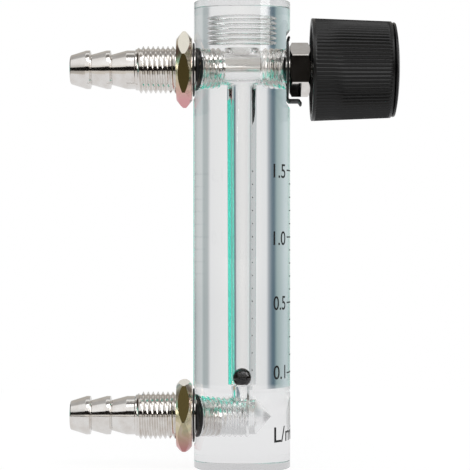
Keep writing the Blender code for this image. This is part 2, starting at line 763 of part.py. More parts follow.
def build_knob(axis, parts, tools, material):
    """Ribbed knob: open skirt, hub on the spindle, web, and a recess for the screw and cap."""
    knob = place(knob_blank("knob"), parts, material, axis)
    skirt = KNOB_RIM_DIAMETER / 2 - KNOB_RIB_DEPTH - KNOB_WALL
    taper = (KNOB_RIM_DIAMETER - KNOB_END_DIAMETER) / 2
    hub = HUB_DIAMETER / 2
    outside_x = KNOB_RIM_X - CUT_EXTRA
    skirt_profile = [
        (skirt - taper, WEB_FLOOR_X),
        (skirt, KNOB_RIM_X),
        (skirt, outside_x),
        (0.0, outside_x),
        (0.0, HUB_START_X),
        (hub - KNOB_DRAFT, HUB_START_X),
        (hub, WEB_FLOOR_X),
    ]
    cavity = turned("knob_skirt_tool", skirt_profile, BODY_FACETS, hollow=True)
    boolean(knob, place(cavity, tools, parent=axis))
    spindle_hole = SPINDLE_RADIUS + SEAL_GAP
    screw_hole = SCREW_DIAMETER / 2 + SEAL_GAP
    hole_profile = [
        (0.0, KNOB_END_X + CUT_EXTRA),
        (CAP_RECESS_DIAMETER / 2, KNOB_END_X + CUT_EXTRA),
        (CAP_RECESS_DIAMETER / 2, WEB_FACE_X),
        (screw_hole, WEB_FACE_X),
        (screw_hole, WEB_FLOOR_X),
        (spindle_hole, WEB_FLOOR_X),
        (spindle_hole, outside_x),
        (0.0, outside_x),
    ]
    hole = turned("knob_hole_tool", hole_profile, BODY_FACETS)
    boolean(knob, place(hole, tools, parent=axis))
    hide_tool(cavity)
    hide_tool(hole)
    return knob


def build_knob_cap(axis, parts, material):
    """Domed cap pressed into the end of the knob."""
    radius = CAP_DIAMETER / 2
    dome_base_x = CAP_FACE_X + CAP_RIM_THICKNESS
    dome_steps = 6
    spigot = CAP_RECESS_DIAMETER / 2 - SEAL_GAP
    profile = []
    for step in range(dome_steps + 1):
        share = math.sin(math.pi / 2 * step / dome_steps)
        profile.append((radius * share, dome_base_x + CAP_DOME_HEIGHT * (1 - share**3)))
    profile += [
        (radius, CAP_FACE_X),
        (spigot, CAP_FACE_X),
        (spigot, CAP_FACE_X - CAP_SPIGOT_LENGTH),
        (spigot - CAP_SPIGOT_WALL, CAP_FACE_X - CAP_SPIGOT_LENGTH),
        (spigot - CAP_SPIGOT_WALL, CAP_FACE_X),
        (0.0, CAP_FACE_X),
    ]
    return place(turned("knob_cap", profile, BODY_FACETS), parts, material, axis)


def build_knob_screw(axis, parts, tools, material):
    """Slotted screw that holds the knob on its spindle."""
    head = SCREW_HEAD_DIAMETER / 2
    head_top_x = SCREW_HEAD_X + SCREW_HEAD_HEIGHT
    profile = [
        (0.0, head_top_x),
        (head * 0.7, head_top_x),
        (head, head_top_x - SCREW_HEAD_HEIGHT / 2),
        (head, SCREW_HEAD_X),
        (SCREW_DIAMETER / 2, SCREW_HEAD_X),
        (SCREW_DIAMETER / 2, SCREW_HEAD_X - SCREW_LENGTH),
        (0.0, SCREW_HEAD_X - SCREW_LENGTH),
    ]
    screw = place(turned("knob_screw", profile, PORT_FACETS), parts, material, axis)
    slot = slot_tool(
        "screw_slot_tool", SCREW_SLOT_WIDTH, SCREW_HEAD_DIAMETER + CUT_EXTRA,
        head_top_x - SCREW_SLOT_DEPTH, head_top_x + CUT_EXTRA, tools, axis,
    )
    boolean(screw, slot)
    return screw


def build_sight_strip(parts, material):
    """Coloured strip on the back of the body, behind the bore."""
    inner = BODY_RADIUS + SEAL_GAP
    low = LOWER_PORT_HEIGHT + WASHER_DIAMETER / 2 + STRIP_MARGIN
    high = UPPER_PORT_HEIGHT - WASHER_DIAMETER / 2 - STRIP_MARGIN
    mesh = bpy.data.meshes.new("sight_strip")
    shape = bmesh.new()
    bmesh.ops.create_grid(shape, x_segments=STRIP_COLUMNS, y_segments=1, size=0.5)
    for vert in shape.verts:
        angle = math.pi - STRIP_TURN - vert.co.x * STRIP_WIDTH / inner
        vert.co = (
            inner * math.cos(angle),
            inner * math.sin(angle),
            (low + high) / 2 + vert.co.y * (high - low),
        )
    bmesh.ops.recalc_face_normals(shape, faces=shape.faces)
    if sum(face.normal.x for face in shape.faces) > 0.0:
        bmesh.ops.reverse_faces(shape, faces=shape.faces)
    shape.to_mesh(mesh)
    shape.free()
    strip = place(bpy.data.objects.new("sight_strip", mesh), parts, material)
    film = strip.modifiers.new("Film", "SOLIDIFY")
    film.thickness = STRIP_THICKNESS
    film.offset = 1.0
    return strip


def main():
    clear_scene()
    parts = new_collection("medical_flowmeter")
    tools = new_collection("cutters")
    upper_axis = new_axis("upper_port_axis", UPPER_PORT_HEIGHT, parts)
    lower_axis = new_axis("lower_port_axis", LOWER_PORT_HEIGHT, parts)

    acrylic = new_material("clear_acrylic", (0.93, 0.95, 0.95), 0.03, transmission=1.0)
    nickel = new_material("nickel_plate", (0.72, 0.68, 0.64), 0.16, metallic=1.0)
    zinc = new_material("yellow_zinc_plate", (0.74, 0.62, 0.42), 0.28, metallic=1.0)
    rubber = new_material("black_rubber", (0.018, 0.018, 0.018), 0.55)
    ball_paint = new_material("black_ball", (0.012, 0.012, 0.014), 0.10)
    black_steel = new_material("blackened_sheet", (0.03, 0.03, 0.032), 0.40, metallic=0.6)
    knob_plastic = new_material("black_knob", (0.022, 0.022, 0.023), 0.38)
    strip_paint = new_material("green_strip", (0.08, 0.72, 0.55), 0.45)

    build_body(parts, tools, upper_axis, lower_axis, acrylic)
    build_top_plug(parts, acrylic)
    build_ball(parts, ball_paint)
    build_sight_strip(parts, strip_paint)

    ports = (
        ("outlet", upper_axis, OUTLET_NUT_TURN, VALVE_SEAT_DIAMETER / 2),
        ("inlet", lower_axis, INLET_NUT_TURN, NOZZLE_BORE_DIAMETER / 2 - SEAT_GAP),
    )
    for port, axis, turn, seat_radius in ports:
        build_fitting(f"{port}_fitting", axis, parts, nickel, seat_radius)
        build_back_seal(f"{port}_seal", axis, parts, rubber)
        build_panel_washer(f"{port}_washer", axis, parts, rubber)
        build_panel_nut(f"{port}_nut", turn, axis, parts, tools, zinc)

    front_seal_x = FRONT_FLOOR_X + SEAL_GAP + SEAL_SECTION / 2
    build_bonnet(upper_axis, parts, tools, nickel)
    build_seal(
        "valve_seal", SEAL_MID_RADIUS, SEAL_SECTION, front_seal_x, upper_axis, parts, rubber
    )
    build_tab_washer(upper_axis, parts, black_steel)
    build_spindle(upper_axis, parts, nickel)
    spindle_seal_radius = SPINDLE_BORE_RADIUS - SEAL_GAP - SPINDLE_SEAL_SECTION / 2
    build_seal(
        "spindle_seal", spindle_seal_radius, SPINDLE_SEAL_SECTION, SPINDLE_SEAL_X,
        upper_axis, parts, rubber,
    )
    build_knob(upper_axis, parts, tools, knob_plastic)
    build_knob_screw(upper_axis, parts, tools, nickel)
    build_knob_cap(upper_axis, parts, knob_plastic)

    for piece in parts.objects:
        if piece.type == "MESH" and not piece.modifiers:
            piece.data.set_sharp_from_angle(angle=SMOOTH_ANGLE)
    bpy.context.view_layer.update()


main()
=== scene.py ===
"""Looks of a medical gas flowmeter: clear acrylic bar, ball float, hose barbs and a needle-valve knob.

Metres, +Z up, the knob along +X, the barbs along -X and the viewer on the -Y side.
"""

import logging
import math
from dataclasses import dataclass
from enum import Enum
from itertools import pairwise
from typing import ClassVar

import bpy
from bpy.types import Material, Node, NodeTree, Object
from mathutils import Matrix, Vector


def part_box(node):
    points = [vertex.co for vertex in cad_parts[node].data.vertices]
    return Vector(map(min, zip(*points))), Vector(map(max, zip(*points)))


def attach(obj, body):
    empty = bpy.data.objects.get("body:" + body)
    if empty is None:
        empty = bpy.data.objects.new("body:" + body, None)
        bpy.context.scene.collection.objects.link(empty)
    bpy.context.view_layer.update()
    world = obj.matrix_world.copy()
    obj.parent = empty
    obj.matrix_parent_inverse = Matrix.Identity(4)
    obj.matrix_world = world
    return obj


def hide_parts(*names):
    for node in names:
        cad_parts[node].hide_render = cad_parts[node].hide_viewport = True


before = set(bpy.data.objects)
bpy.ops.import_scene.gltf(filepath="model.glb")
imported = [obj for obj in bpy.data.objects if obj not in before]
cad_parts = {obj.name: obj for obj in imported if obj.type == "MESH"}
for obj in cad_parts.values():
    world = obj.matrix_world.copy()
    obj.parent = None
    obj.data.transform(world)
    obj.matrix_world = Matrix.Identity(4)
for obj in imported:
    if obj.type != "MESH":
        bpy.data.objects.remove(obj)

LOG = logging.getLogger("flowmeter")
MM = 0.001
UPPER_PORT = 101.0 * MM
LOWER_PORT = 13.0 * MM
BODY_RADIUS = 12.25 * MM
# Depth of a metric thread's ridge for each unit of its pitch.
RIDGE_RATIO = 0.6134
# Bevel along the corners of the hexagons.
CORNER_BREAK = 0.12 * MM
# How far a helix's foot lies inside the core that carries it.
THREAD_FOOT = 0.08 * MM
# Points closer than this are one point.
WELD = 0.001 * MM
# Length of one band of Blender's Wave Texture at a scale of 1.
WAVE_LENGTH = 0.31416

Profile = list[tuple[float, float]]
Colour = tuple[float, float, float, float]
Constants = tuple[tuple[str, float], ...]
Stops = tuple[tuple[float, str], ...]


class Axis(Enum):
    """Line that a turned piece is spun round."""

    PORT = Vector((1.0, 0.0, 0.0))
    BODY = Vector((0.0, 0.0, 1.0))


class Slot(Enum):
    """Material slots of the record."""

    ACRYLIC = "acrylic"
    BALL = "ball"
    STRIP = "strip"
    NICKEL = "nickel"
    ZINC = "zinc"
    RUBBER = "rubber"
    BLACK_STEEL = "black_steel"
    KNOB_PLASTIC = "knob_plastic"


def linear(hex_colour: str) -> Colour:
    """Turn an sRGB hex value to a linear colour.

    Args:
        hex_colour: Six hex digits, with or without a leading hash.

    Returns:
        Linear red, green, blue and an alpha of 1.
    """
    digits = hex_colour.lstrip("#")
    channels = [int(digits[i : i + 2], 16) / 255 for i in (0, 2, 4)]
    values = [c / 12.92 if c <= 0.04045 else ((c + 0.055) / 1.055) ** 2.4 for c in channels]
    return (*values, 1.0)


def add_node(
    tree: NodeTree, kind: str, inputs: dict | None = None, stops: Stops = (), **settings: object
) -> Node:
    """Add a node with its settings, values and links.

    Args:
        tree: Node tree that takes the node.
        kind: Blender's type name of the node, without its ShaderNode at the front.
        inputs: Values by socket, where a node is a link from its first output and a (node, output) pair from
            another.
        stops: Places and hex colours of a colour ramp.
        settings: Properties of the node itself.

    Returns:
        The new node.
    """
    node = tree.nodes.new(f"ShaderNode{kind}")
    for name, value in settings.items():
        setattr(node, name, value)
    for name, value in (inputs or {}).items():
        source = (value, 0) if isinstance(value, Node) else value
        if isinstance(source, tuple) and isinstance(source[0], Node):
            tree.links.new(source[0].outputs[source[1]], node.inputs[name])
        else:
            node.inputs[name].default_value = value
    if stops:
        elements = node.color_ramp.elements
        elements.remove(elements[-1])
        elements[0].position = stops[0][0]
        elements[0].color = linear(stops[0][1])
        for place, colour in stops[1:]:
            elements.new(place).color = linear(colour)
    return node


def bare_material(name: str) -> tuple[Material, NodeTree]:
    """Make a material with an empty node tree."""
    material = bpy.data.materials.new(name)
    material.use_nodes = True
    material.node_tree.nodes.clear()
    return material, material.node_tree


def new_surface(name: str, inputs: dict) -> tuple[Material, NodeTree, Node]:
    """Make a material whose surface is one Principled shader.

    Args:
        name: Name of the material.
        inputs: Constant values of the shader's sockets.

    Returns:
        The material, its node tree and its shader.
    """
    material, tree = bare_material(name)
    shader = add_node(tree, "BsdfPrincipled", inputs)
    add_node(tree, "OutputMaterial", {"Surface": shader})
    return material, tree, shader


@dataclass(frozen=True)
class Acrylic:
    """Cast acrylic: polished outside and in the bore, left satin by the tools on its end faces and threads."""

    tint: str = "#fefefe"
    index: float = 1.49
    cut_roughness: float = 0.25
    top: float = 118.0 * MM
    end_zone: float = 0.25 * MM
    port_zone: float = 5.3 * MM
    plug_zone: float = 6.3 * MM
    plug_low: float = 106.0 * MM

    def make(self) -> Material:
        """Return the material, satin within the zones of the plug, the two ends and the two ports."""
        material, tree, shader = new_surface(
            "cast_acrylic_polished",
            {"Base Color": linear(self.tint), "IOR": self.index, "Transmission Weight": 1.0},
        )
        place = add_node(tree, "TexCoord")
        split = add_node(tree, "SeparateXYZ", {"Vector": (place, "Object")})
        across = add_node(tree, "CombineXYZ", {"Y": (split, "Y"), "Z": (split, "Z")})
        upright = add_node(tree, "CombineXYZ", {"X": (split, "X"), "Y": (split, "Y")})
        from_bore, from_upper, from_lower = (
            add_node(tree, "VectorMath", {0: line, 1: (0.0, 0.0, height)}, operation="DISTANCE")
            for line, height in ((upright, 0.0), (across, UPPER_PORT), (across, LOWER_PORT))
        )
        near_plug, above, *zones = (
            add_node(tree, "Math", {0: measure, 1: limit}, operation=operation)
            for measure, operation, limit in (
                ((from_bore, "Value"), "LESS_THAN", self.plug_zone),
                ((split, "Z"), "GREATER_THAN", self.plug_low),
                ((split, "Z"), "LESS_THAN", self.end_zone),
                ((split, "Z"), "GREATER_THAN", self.top - self.end_zone),
                ((from_upper, "Value"), "LESS_THAN", self.port_zone),
                ((from_lower, "Value"), "LESS_THAN", self.port_zone),
            )
        )
        satin = add_node(tree, "Math", {0: near_plug, 1: above}, operation="MULTIPLY")
        for zone in zones:
            satin = add_node(tree, "Math", {0: satin, 1: zone}, operation="MAXIMUM")
        gloss = add_node(tree, "MapRange", {"Value": satin, "To Max": self.cut_roughness})
        tree.links.new(gloss.outputs["Result"], shader.inputs["Roughness"])
        return material


@dataclass(frozen=True)
class Grained:
    """Finish whose shade, gloss and relief follow one noise with the grain size of the real surface."""

    name: str
    constants: Constants
    grain_mm: float
    shades: Stops = ()
    detail: float = 3.0
    gloss: tuple[float, ...] = ()
    relief: float = 0.0
    relief_height: float = 0.02 * MM
    stretch: tuple[float, ...] = ()

    def start(self) -> tuple[Material, NodeTree, dict[str, Node]]:
        """Make the material with its noise.

        Returns:
            The material, its node tree, and those of its nodes that a finish may add to.
        """
        material, tree, shader = new_surface(self.name, dict(self.constants))
        place = add_node(tree, "TexCoord")
        nodes = {"shader": shader, "place": place}
        spot = (place, "Object")
        if self.stretch:
            spot = add_node(tree, "Mapping", {"Vector": spot, "Scale": self.stretch})
        grain = add_node(tree, "TexNoise", {"Vector": spot, "Scale": 1 / (self.grain_mm * MM), "Detail": self.detail})
        if self.shades:
            nodes["shade"] = add_node(tree, "ValToRGB", {"Fac": grain}, self.shades)
            tree.links.new(nodes["shade"].outputs["Color"], shader.inputs["Base Color"])
        if self.gloss:
            low, high = self.gloss
            gloss = add_node(tree, "MapRange", {"Value": grain, "To Min": low, "To Max": high})
            tree.links.new(gloss.outputs["Result"], shader.inputs["Roughness"])
        if self.relief:
            depth = {"Height": grain, "Strength": self.relief, "Distance": self.relief_height}
            bump = add_node(tree, "Bump", depth)
            tree.links.new(bump.outputs["Normal"], shader.inputs["Normal"])
        return material, tree, nodes

    def make(self) -> Material:
        """Return the material."""
        return self.start()[0]


@dataclass(frozen=True)
class GlossBall(Grained):
    """Black glass ball, ground and polished: near-black with sharp small highlights."""

    name: str = "black_glass_polished"
    constants: Constants = (("IOR", 1.6), ("Roughness", 0.03))
    grain_mm: float = 1.6
    shades: Stops = ((0.3, "#060607"), (0.8, "#0d0d10"))


@dataclass(frozen=True)
class StripPaint(Grained):
    """Turquoise enamel, screened on, with a painted glow where it is seen through the bar."""

    name: str = "turquoise_enamel_screened"
    # The emission strength is a painted glow, not a property of the enamel.
    constants: Constants = (("Roughness", 0.42), ("IOR", 1.5), ("Emission Strength", 0.36))
    grain_mm: float = 2.5
    shades: Stops = ((0.25, "#52dac4"), (0.75, "#58e2cc"))
    detail: float = 2.0

    def make(self) -> Material:
        """Return the material, whose emission paints a glow only on paths that passed through the acrylic."""
        material, tree, nodes = self.start()
        # Painted light: the enamel's emission glows in place of light that the bar traps, only when seen through the
        # acrylic.
        path = add_node(tree, "LightPath")
        inside = add_node(tree, "Math", {0: (path, "Transmission Depth"), 1: 0.5}, operation="GREATER_THAN")
        black = (0.0, 0.0, 0.0, 1.0)
        painted_glow = add_node(tree, "Mix", {0: inside, 6: black, 7: nodes["shade"]}, data_type="RGBA")
        tree.links.new(painted_glow.outputs[2], nodes["shader"].inputs["Emission Color"])
        return material


@dataclass(frozen=True)
class NickelPlate(Grained):
    """Bright nickel on turned brass: a warm white mirror, a little blurred along the tool marks."""

    name: str = "nickel_plate_on_turned_brass"
    constants: Constants = (("Metallic", 1.0),)
    grain_mm: float = 2.2
    shades: Stops = ((0.3, "#e2ddd8"), (0.7, "#efedea"))
    detail: float = 4.0
    gloss: tuple[float, ...] = (0.06, 0.15)
    mark_mm: float = 0.24
    mark_relief: float = 0.10
    mark_height: float = 0.01 * MM

    def make(self) -> Material:
        """Return the material with tool marks, drawn several times coarser than real ones so that they show."""
        material, tree, nodes = self.start()
        marks = add_node(
            tree, "TexWave",
            {"Vector": (nodes["place"], "Object"), "Scale": WAVE_LENGTH / (self.mark_mm * MM), "Distortion": 1.2},
            wave_type="BANDS", bands_direction="X",
        )
        depth = {"Height": (marks, "Fac"), "Strength": self.mark_relief, "Distance": self.mark_height}
        bump = add_node(tree, "Bump", depth)
        tree.links.new(bump.outputs["Normal"], nodes["shader"].inputs["Normal"])
        return material


@dataclass(frozen=True)
class YellowZinc(Grained):
    """Zinc plate with a yellow chromate on steel: satin, drifting from gold to olive, and rose underneath."""

    name: str = "yellow_chromate_zinc_on_steel"
    constants: Constants = (("Metallic", 1.0),)
    grain_mm: float = 0.25
    detail: float = 5.0
    gloss: tuple[float, ...] = (0.14, 0.28)
    relief: float = 0.18
    hue_mm: float = 4.5
    hues: Stops = ((0.28, "#c9c4a6"), (0.42, "#d8ccaa"), (0.55, "#e4d8c2"), (0.66, "#dfb9a8"), (0.80, "#b9bd9f"))
    # Painted light: upward flats get a painted silvery highlight, flats facing the viewer a painted dark olive
    # reflection.
    painted_highlight_upper_flat: str = "#f6f1e4"
    underside: str = "#dd9c9e"
    painted_dark_reflection_front_flat: str = "#544a2c"

    def make(self) -> Material:
        """Return the material, with a painted silvery highlight on the upper flats and a painted dark olive reflection
        on the front ones.
        """
        material, tree, nodes = self.start()
        place = nodes["place"]
        drift = add_node(
            tree, "TexNoise",
            {"Vector": (place, "Object"), "Scale": 1 / (self.hue_mm * MM), "Detail": 2.5, "Distortion": 0.8},
        )
        film = add_node(tree, "ValToRGB", {"Fac": drift}, self.hues)
        spot, normal = (
            add_node(tree, "SeparateXYZ", {"Vector": (place, output)}) for output in ("Object", "Normal")
        )
        port = add_node(tree, "Math", {0: (spot, "Z"), 1: UPPER_PORT - LOWER_PORT, 2: 0.0}, operation="WRAP")
        # The first and last rows paint light: a highlight on upward flats and a dark reflection on flats facing the
        # viewer.
        for measure, start, end, colour in (
            ((normal, "Z"), 0.45, 0.60, self.painted_highlight_upper_flat),
            (port, LOWER_PORT - 3.0 * MM, LOWER_PORT - 8.0 * MM, self.underside),
            ((normal, "Y"), -0.80, -0.87, self.painted_dark_reflection_front_flat),
        ):
            share = add_node(tree, "MapRange", {"Value": measure, "From Min": start, "From Max": end})
            mix = {0: share, 6: film, 7: linear(colour)}
            film = (add_node(tree, "Mix", mix, data_type="RGBA"), 2)
        tree.links.new(film[0].outputs[2], nodes["shader"].inputs["Base Color"])
        return material


@dataclass(frozen=True)
class Rubber(Grained):
    """Moulded nitrile rubber: soft black with a dull sheen and a trace of talc."""

    name: str = "nitrile_rubber_moulded"
    constants: Constants = (("Roughness", 0.45), ("IOR", 1.52))
    grain_mm: float = 0.30
    shades: Stops = ((0.35, "#111112"), (0.85, "#1e1e1f"))
    detail: float = 4.0
    relief: float = 0.2


@dataclass(frozen=True)
class BlackSteel(Grained):
    """Spring steel sheet, oil blackened: dark, with a low gloss and faint rolling streaks."""

    name: str = "spring_steel_oil_blackened"
    constants: Constants = (("Metallic", 0.0), ("IOR", 1.4))
    grain_mm: float = 0.5
    shades: Stops = ((0.3, "#08080a"), (0.8, "#121214"))
    gloss: tuple[float, ...] = (0.40, 0.55)
    stretch: tuple[float, ...] = (0.2, 1.0, 1.0)


@dataclass(frozen=True)
class KnobPlastic(Grained):
    """Glass-filled nylon, moulded against a spark-eroded die: satin black with a fine even grain."""

    name: str = "glass_filled_nylon_moulded"
    constants: Constants = (("IOR", 1.42),)
    grain_mm: float = 0.16
    shades: Stops = ((0.3, "#080809"), (0.8, "#0e0e0f"))
    gloss: tuple[float, ...] = (0.29, 0.38)
    relief: float = 0.25


@dataclass(frozen=True)
class Ink(Grained):
    """Screen-printing ink on acrylic: dense black with a slightly uneven, low-gloss film."""

    name: str = "screen_ink_black"
    constants: Constants = (("IOR", 1.4),)
    grain_mm: float = 0.4
    shades: Stops = ((0.3, "#050506"), (0.8, "#0e0e0f"))
    gloss: tuple[float, ...] = (0.35, 0.5)


def deselect() -> None:
    """Leave edit mode and deselect every object."""
    if bpy.context.object is not None and bpy.context.object.mode != "OBJECT":
        bpy.ops.object.mode_set(mode="OBJECT")
    bpy.ops.object.select_all(action="DESELECT")


def pick(piece: Object) -> None:
    """Make a piece the only selected and active object."""
    deselect()
    piece.select_set(True)
    bpy.context.view_layer.objects.active = piece


def enter_edit(select: str = "SELECT") -> None:
    """Enter edit mode with everything selected, or with "DESELECT" nothing."""
    bpy.ops.object.mode_set(mode="EDIT")
    bpy.ops.mesh.select_all(action=select)


def mm(*points: tuple[float, float]) -> Profile:
    """Turn profile points from millimetres to metres."""
    return [(along * MM, out * MM) for along, out in points]


def settle(piece: Object, angle: float = 30.0) -> Object:
    """Put a piece's place into its mesh, merge doubles, turn its faces outwards and shade it.

    The shading is weighted by face area, so that a large face stays flat or straight beside a small bevel.

    Args:
        piece: The modelled piece.
        angle: Degrees past which an edge stays sharp.

    Returns:
        The same piece, with its object at the origin.
    """
    pick(piece)
    bpy.ops.object.transform_apply(location=True, rotation=True, scale=True)
    enter_edit()
    bpy.ops.mesh.remove_doubles(threshold=WELD)
    bpy.ops.mesh.normals_make_consistent(inside=False)
    bpy.ops.object.mode_set(mode="OBJECT")
    bpy.ops.object.shade_smooth_by_angle(angle=math.radians(angle))
    apply_modifier(piece, "WEIGHTED_NORMAL", mode="FACE_AREA", weight=100, keep_sharp=True)
    return piece


def spun(
    name: str, profile: Profile, axis: Axis, height: float = 0.0, steps: int = 96, angle: float = math.tau
) -> Object:
    """Draw a profile vertex by vertex and spin it, as on a lathe.

    Args:
        name: Name of the piece.
        profile: Points of (place along the axis, distance from it).
        axis: Line that it turns round.
        height: Height of a port axis above the base.
        steps: Number of facets round the turn.
        angle: How far round the profile is spun.

    Returns:
        The turned piece.
    """
    if axis is Axis.PORT:
        points = [Vector((along, 0.0, height + out)) for along, out in profile]
    else:
        points = [Vector((out, 0.0, along)) for along, out in profile]
    deselect()
    bpy.ops.mesh.primitive_circle_add(vertices=3, radius=0.1 * MM, location=points[0])
    piece = bpy.context.object
    piece.name = name
    piece.data.name = name
    enter_edit()
    bpy.ops.mesh.merge(type="CENTER")
    for start, end in pairwise(points):
        bpy.ops.mesh.extrude_vertices_move(TRANSFORM_OT_translate={"value": end - start})
    bpy.ops.mesh.select_all(action="SELECT")
    bpy.ops.mesh.spin(steps=steps, angle=angle, center=(0.0, 0.0, height), axis=axis.value)
    bpy.ops.object.mode_set(mode="OBJECT")
    return settle(piece)


def soften(profile: Profile, radius: float) -> Profile:
    """Round the corners of a profile with two short facets each, leaving its ends.

    Args:
        profile: Points of the profile.
        radius: Distance from a corner at which its rounding starts.

    Returns:
        The rounded profile.
    """
    points = [profile[0]]
    for before, corner, after in zip(profile, profile[1:], profile[2:]):
        middle = Vector(corner)
        ends = []
        for other in (before, after):
            arm = Vector(other) - middle
            ends.append(middle + arm * min(0.45, radius / arm.length))
        points.append(tuple(ends[0]))
        points.append(tuple((ends[0] + ends[1] + 2 * middle) / 4))
        points.append(tuple(ends[1]))
    points.append(profile[-1])
    return points


def apply_modifier(piece: Object, kind: str, **settings: object) -> None:
    """Add a modifier with its settings and apply it."""
    pick(piece)
    modifier = piece.modifiers.new(kind.title(), kind)
    for name, value in settings.items():
        setattr(modifier, name, value)
    bpy.ops.object.modifier_apply(modifier=modifier.name)


def bevel(piece: Object, width: float, segments: int = 2, sharp: float = 50.0) -> None:
    """Break the edges of a piece that turn by more than a number of degrees."""
    apply_modifier(
        piece, "BEVEL", width=width, segments=segments, limit_method="ANGLE", angle_limit=math.radians(sharp)
    )


def carve(piece: Object, tool: Object, operation: str = "DIFFERENCE") -> None:
    """Apply an exact Boolean with a tool, then remove the tool."""
    apply_modifier(piece, "BOOLEAN", object=tool, operation=operation, solver="EXACT")
    bpy.data.objects.remove(tool, do_unlink=True)


def thicken(sheet: Object, film: float) -> None:
    """Give a sheet that lies round the bar a thickness, away from the bar's middle."""
    outwards = sum(face.normal.dot(face.center * Vector((1.0, 1.0, 0.0))) for face in sheet.data.polygons)
    apply_modifier(sheet, "SOLIDIFY", thickness=film, offset=1.0 if outwards > 0 else -1.0)


def join(pieces: list[Object]) -> Object:
    """Join pieces into the first of them."""
    pick(pieces[0])
    for piece in pieces[1:]:
        piece.select_set(True)
    bpy.ops.object.join()
    return pieces[0]


def ridge_profile(
    radius: float, pitch: float, low: float, high: float, ratio: float = RIDGE_RATIO, flat: float = 0.08
) -> Profile:
    """Profile of ring-shaped thread ridges between two places along an axis.

    Args:
        radius: Radius at the crests.
        pitch: Distance from crest to crest.
        low: Place where the ridges start.
        high: Place where they end.
        ratio: Depth of a ridge for each unit of pitch.
        flat: Share of the pitch that half a flat takes.

    Returns:
        Points of (place, radius).
    """
    root = radius - pitch * ratio
    count = max(1, int((high - low) / pitch + 0.001))
    points = []
    for ridge in range(count):
        x = low + ridge * pitch
        for share, out in ((0.0, root), (flat, root), (0.5 - flat, radius), (0.5 + flat, radius), (1.0 - flat, root)):
            points.append((x + share * pitch, out))
    points.append((low + count * pitch, root))
    return points


def helix(name: str, radius: float, pitch: float, low: float, high: float, height: float, steps: int = 72) -> Object:
    """Real screw thread: one ridge wound round a port axis, fading in and out at its ends.

    Args:
        name: Name of the piece.
        radius: Radius at the crest.
        pitch: Distance that one turn advances.
        low: Place along X where the thread starts.
        high: Place where it ends.
        height: Height of the axis.
        steps: Facets in one turn.

    Returns:
        The wound ridge, closed at both ends.
    """
    root = radius - pitch * RIDGE_RATIO
    sunk = root - THREAD_FOOT
    turns = int((high - low) / pitch) - 1
    section = [(0.02, sunk), (0.08, root), (0.44, radius), (0.56, radius), (0.92, root), (0.98, sunk)]
    deselect()
    bpy.ops.mesh.primitive_circle_add(vertices=len(section), radius=pitch, location=(0.0, 0.0, 0.0))
    ridge = bpy.context.object
    ridge.name = name
    for vert, (share, out) in zip(ridge.data.vertices, section):
        vert.co = (low + share * pitch, 0.0, out)
    ridge.location = (0.0, 0.0, height)
    apply_modifier(
        ridge, "SCREW", axis="X", angle=math.tau, screw_offset=pitch, iterations=turns, steps=steps,
        render_steps=steps, use_merge_vertices=False,
    )
    enter_edit()
    bpy.ops.mesh.remove_doubles(threshold=WELD)
    bpy.ops.mesh.select_all(action="DESELECT")
    bpy.ops.mesh.select_non_manifold()
    bpy.ops.mesh.edge_face_add()
    bpy.ops.object.mode_set(mode="OBJECT")
    end = max(vert.co.x for vert in ridge.data.vertices)
    for vert in ridge.data.vertices:
        out = math.hypot(vert.co.y, vert.co.z)
        fade = min(1.0, (vert.co.x - low) / pitch, (end - vert.co.x) / pitch)
        target = sunk + (out - sunk) * max(0.0, fade)
        vert.co.y *= target / out
        vert.co.z *= target / out
    return settle(ridge)


def hexagon(
    name: str, across: float, low: float, high: float, corner_turn: float, height: float, face: float, slant: float
) -> Object:
    """Hexagonal prism along a port axis, with both ends chamfered by a turned blank.

    Args:
        name: Name of the piece.
        across: Size across its flats.
        low: Place along X of its inner end.
        high: Place of its outer end.
        corner_turn: Degrees from the viewer's side up to a corner.
        height: Height of the axis.
        face: Radius of the flat round face that the chamfer leaves.
        slant: Degrees of the chamfer from that face.

    Returns:
        The chamfered prism.
    """
    corner = across / math.sqrt(3)
    chamfer = (corner - face) * math.tan(math.radians(slant))
    deselect()
    # The prism stands out of the blank at both ends, so that no faces of the two fall together.
    spare = 2.0 * MM
    bpy.ops.mesh.primitive_cylinder_add(
        vertices=6, radius=corner, depth=high - low + spare, location=((low + high) / 2, 0.0, height)
    )
    prism = bpy.context.object
    prism.name = name
    prism.data.name = name
    turn = Matrix.Rotation(math.radians(-corner_turn), 3, "X") @ Matrix.Rotation(math.pi / 2, 3, "Y")
    prism.rotation_euler = turn.to_euler()
    bpy.ops.object.transform_apply(location=True, rotation=True, scale=True)
    bevel(prism, CORNER_BREAK)
    blank = [(low, 0.0), (low, face), (low + chamfer, corner)]
    blank += [(high - chamfer, corner), (high, face), (high, 0.0)]
    carve(prism, spun(f"{name}_blank", blank, Axis.PORT, height, 144), "INTERSECT")
    return settle(prism)


def hand_over(piece: Object, material: Material, body: str, slot: Slot, *nodes: str) -> None:
    """Dress a finished piece and let it stand for its CAD nodes on their body."""
    piece.data.materials.clear()
    piece.data.materials.append(material)
    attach(piece, body)
    if nodes:
        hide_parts(*nodes)
    LOG.info("%s: %d faces on %s", piece.name, len(piece.data.polygons), body)


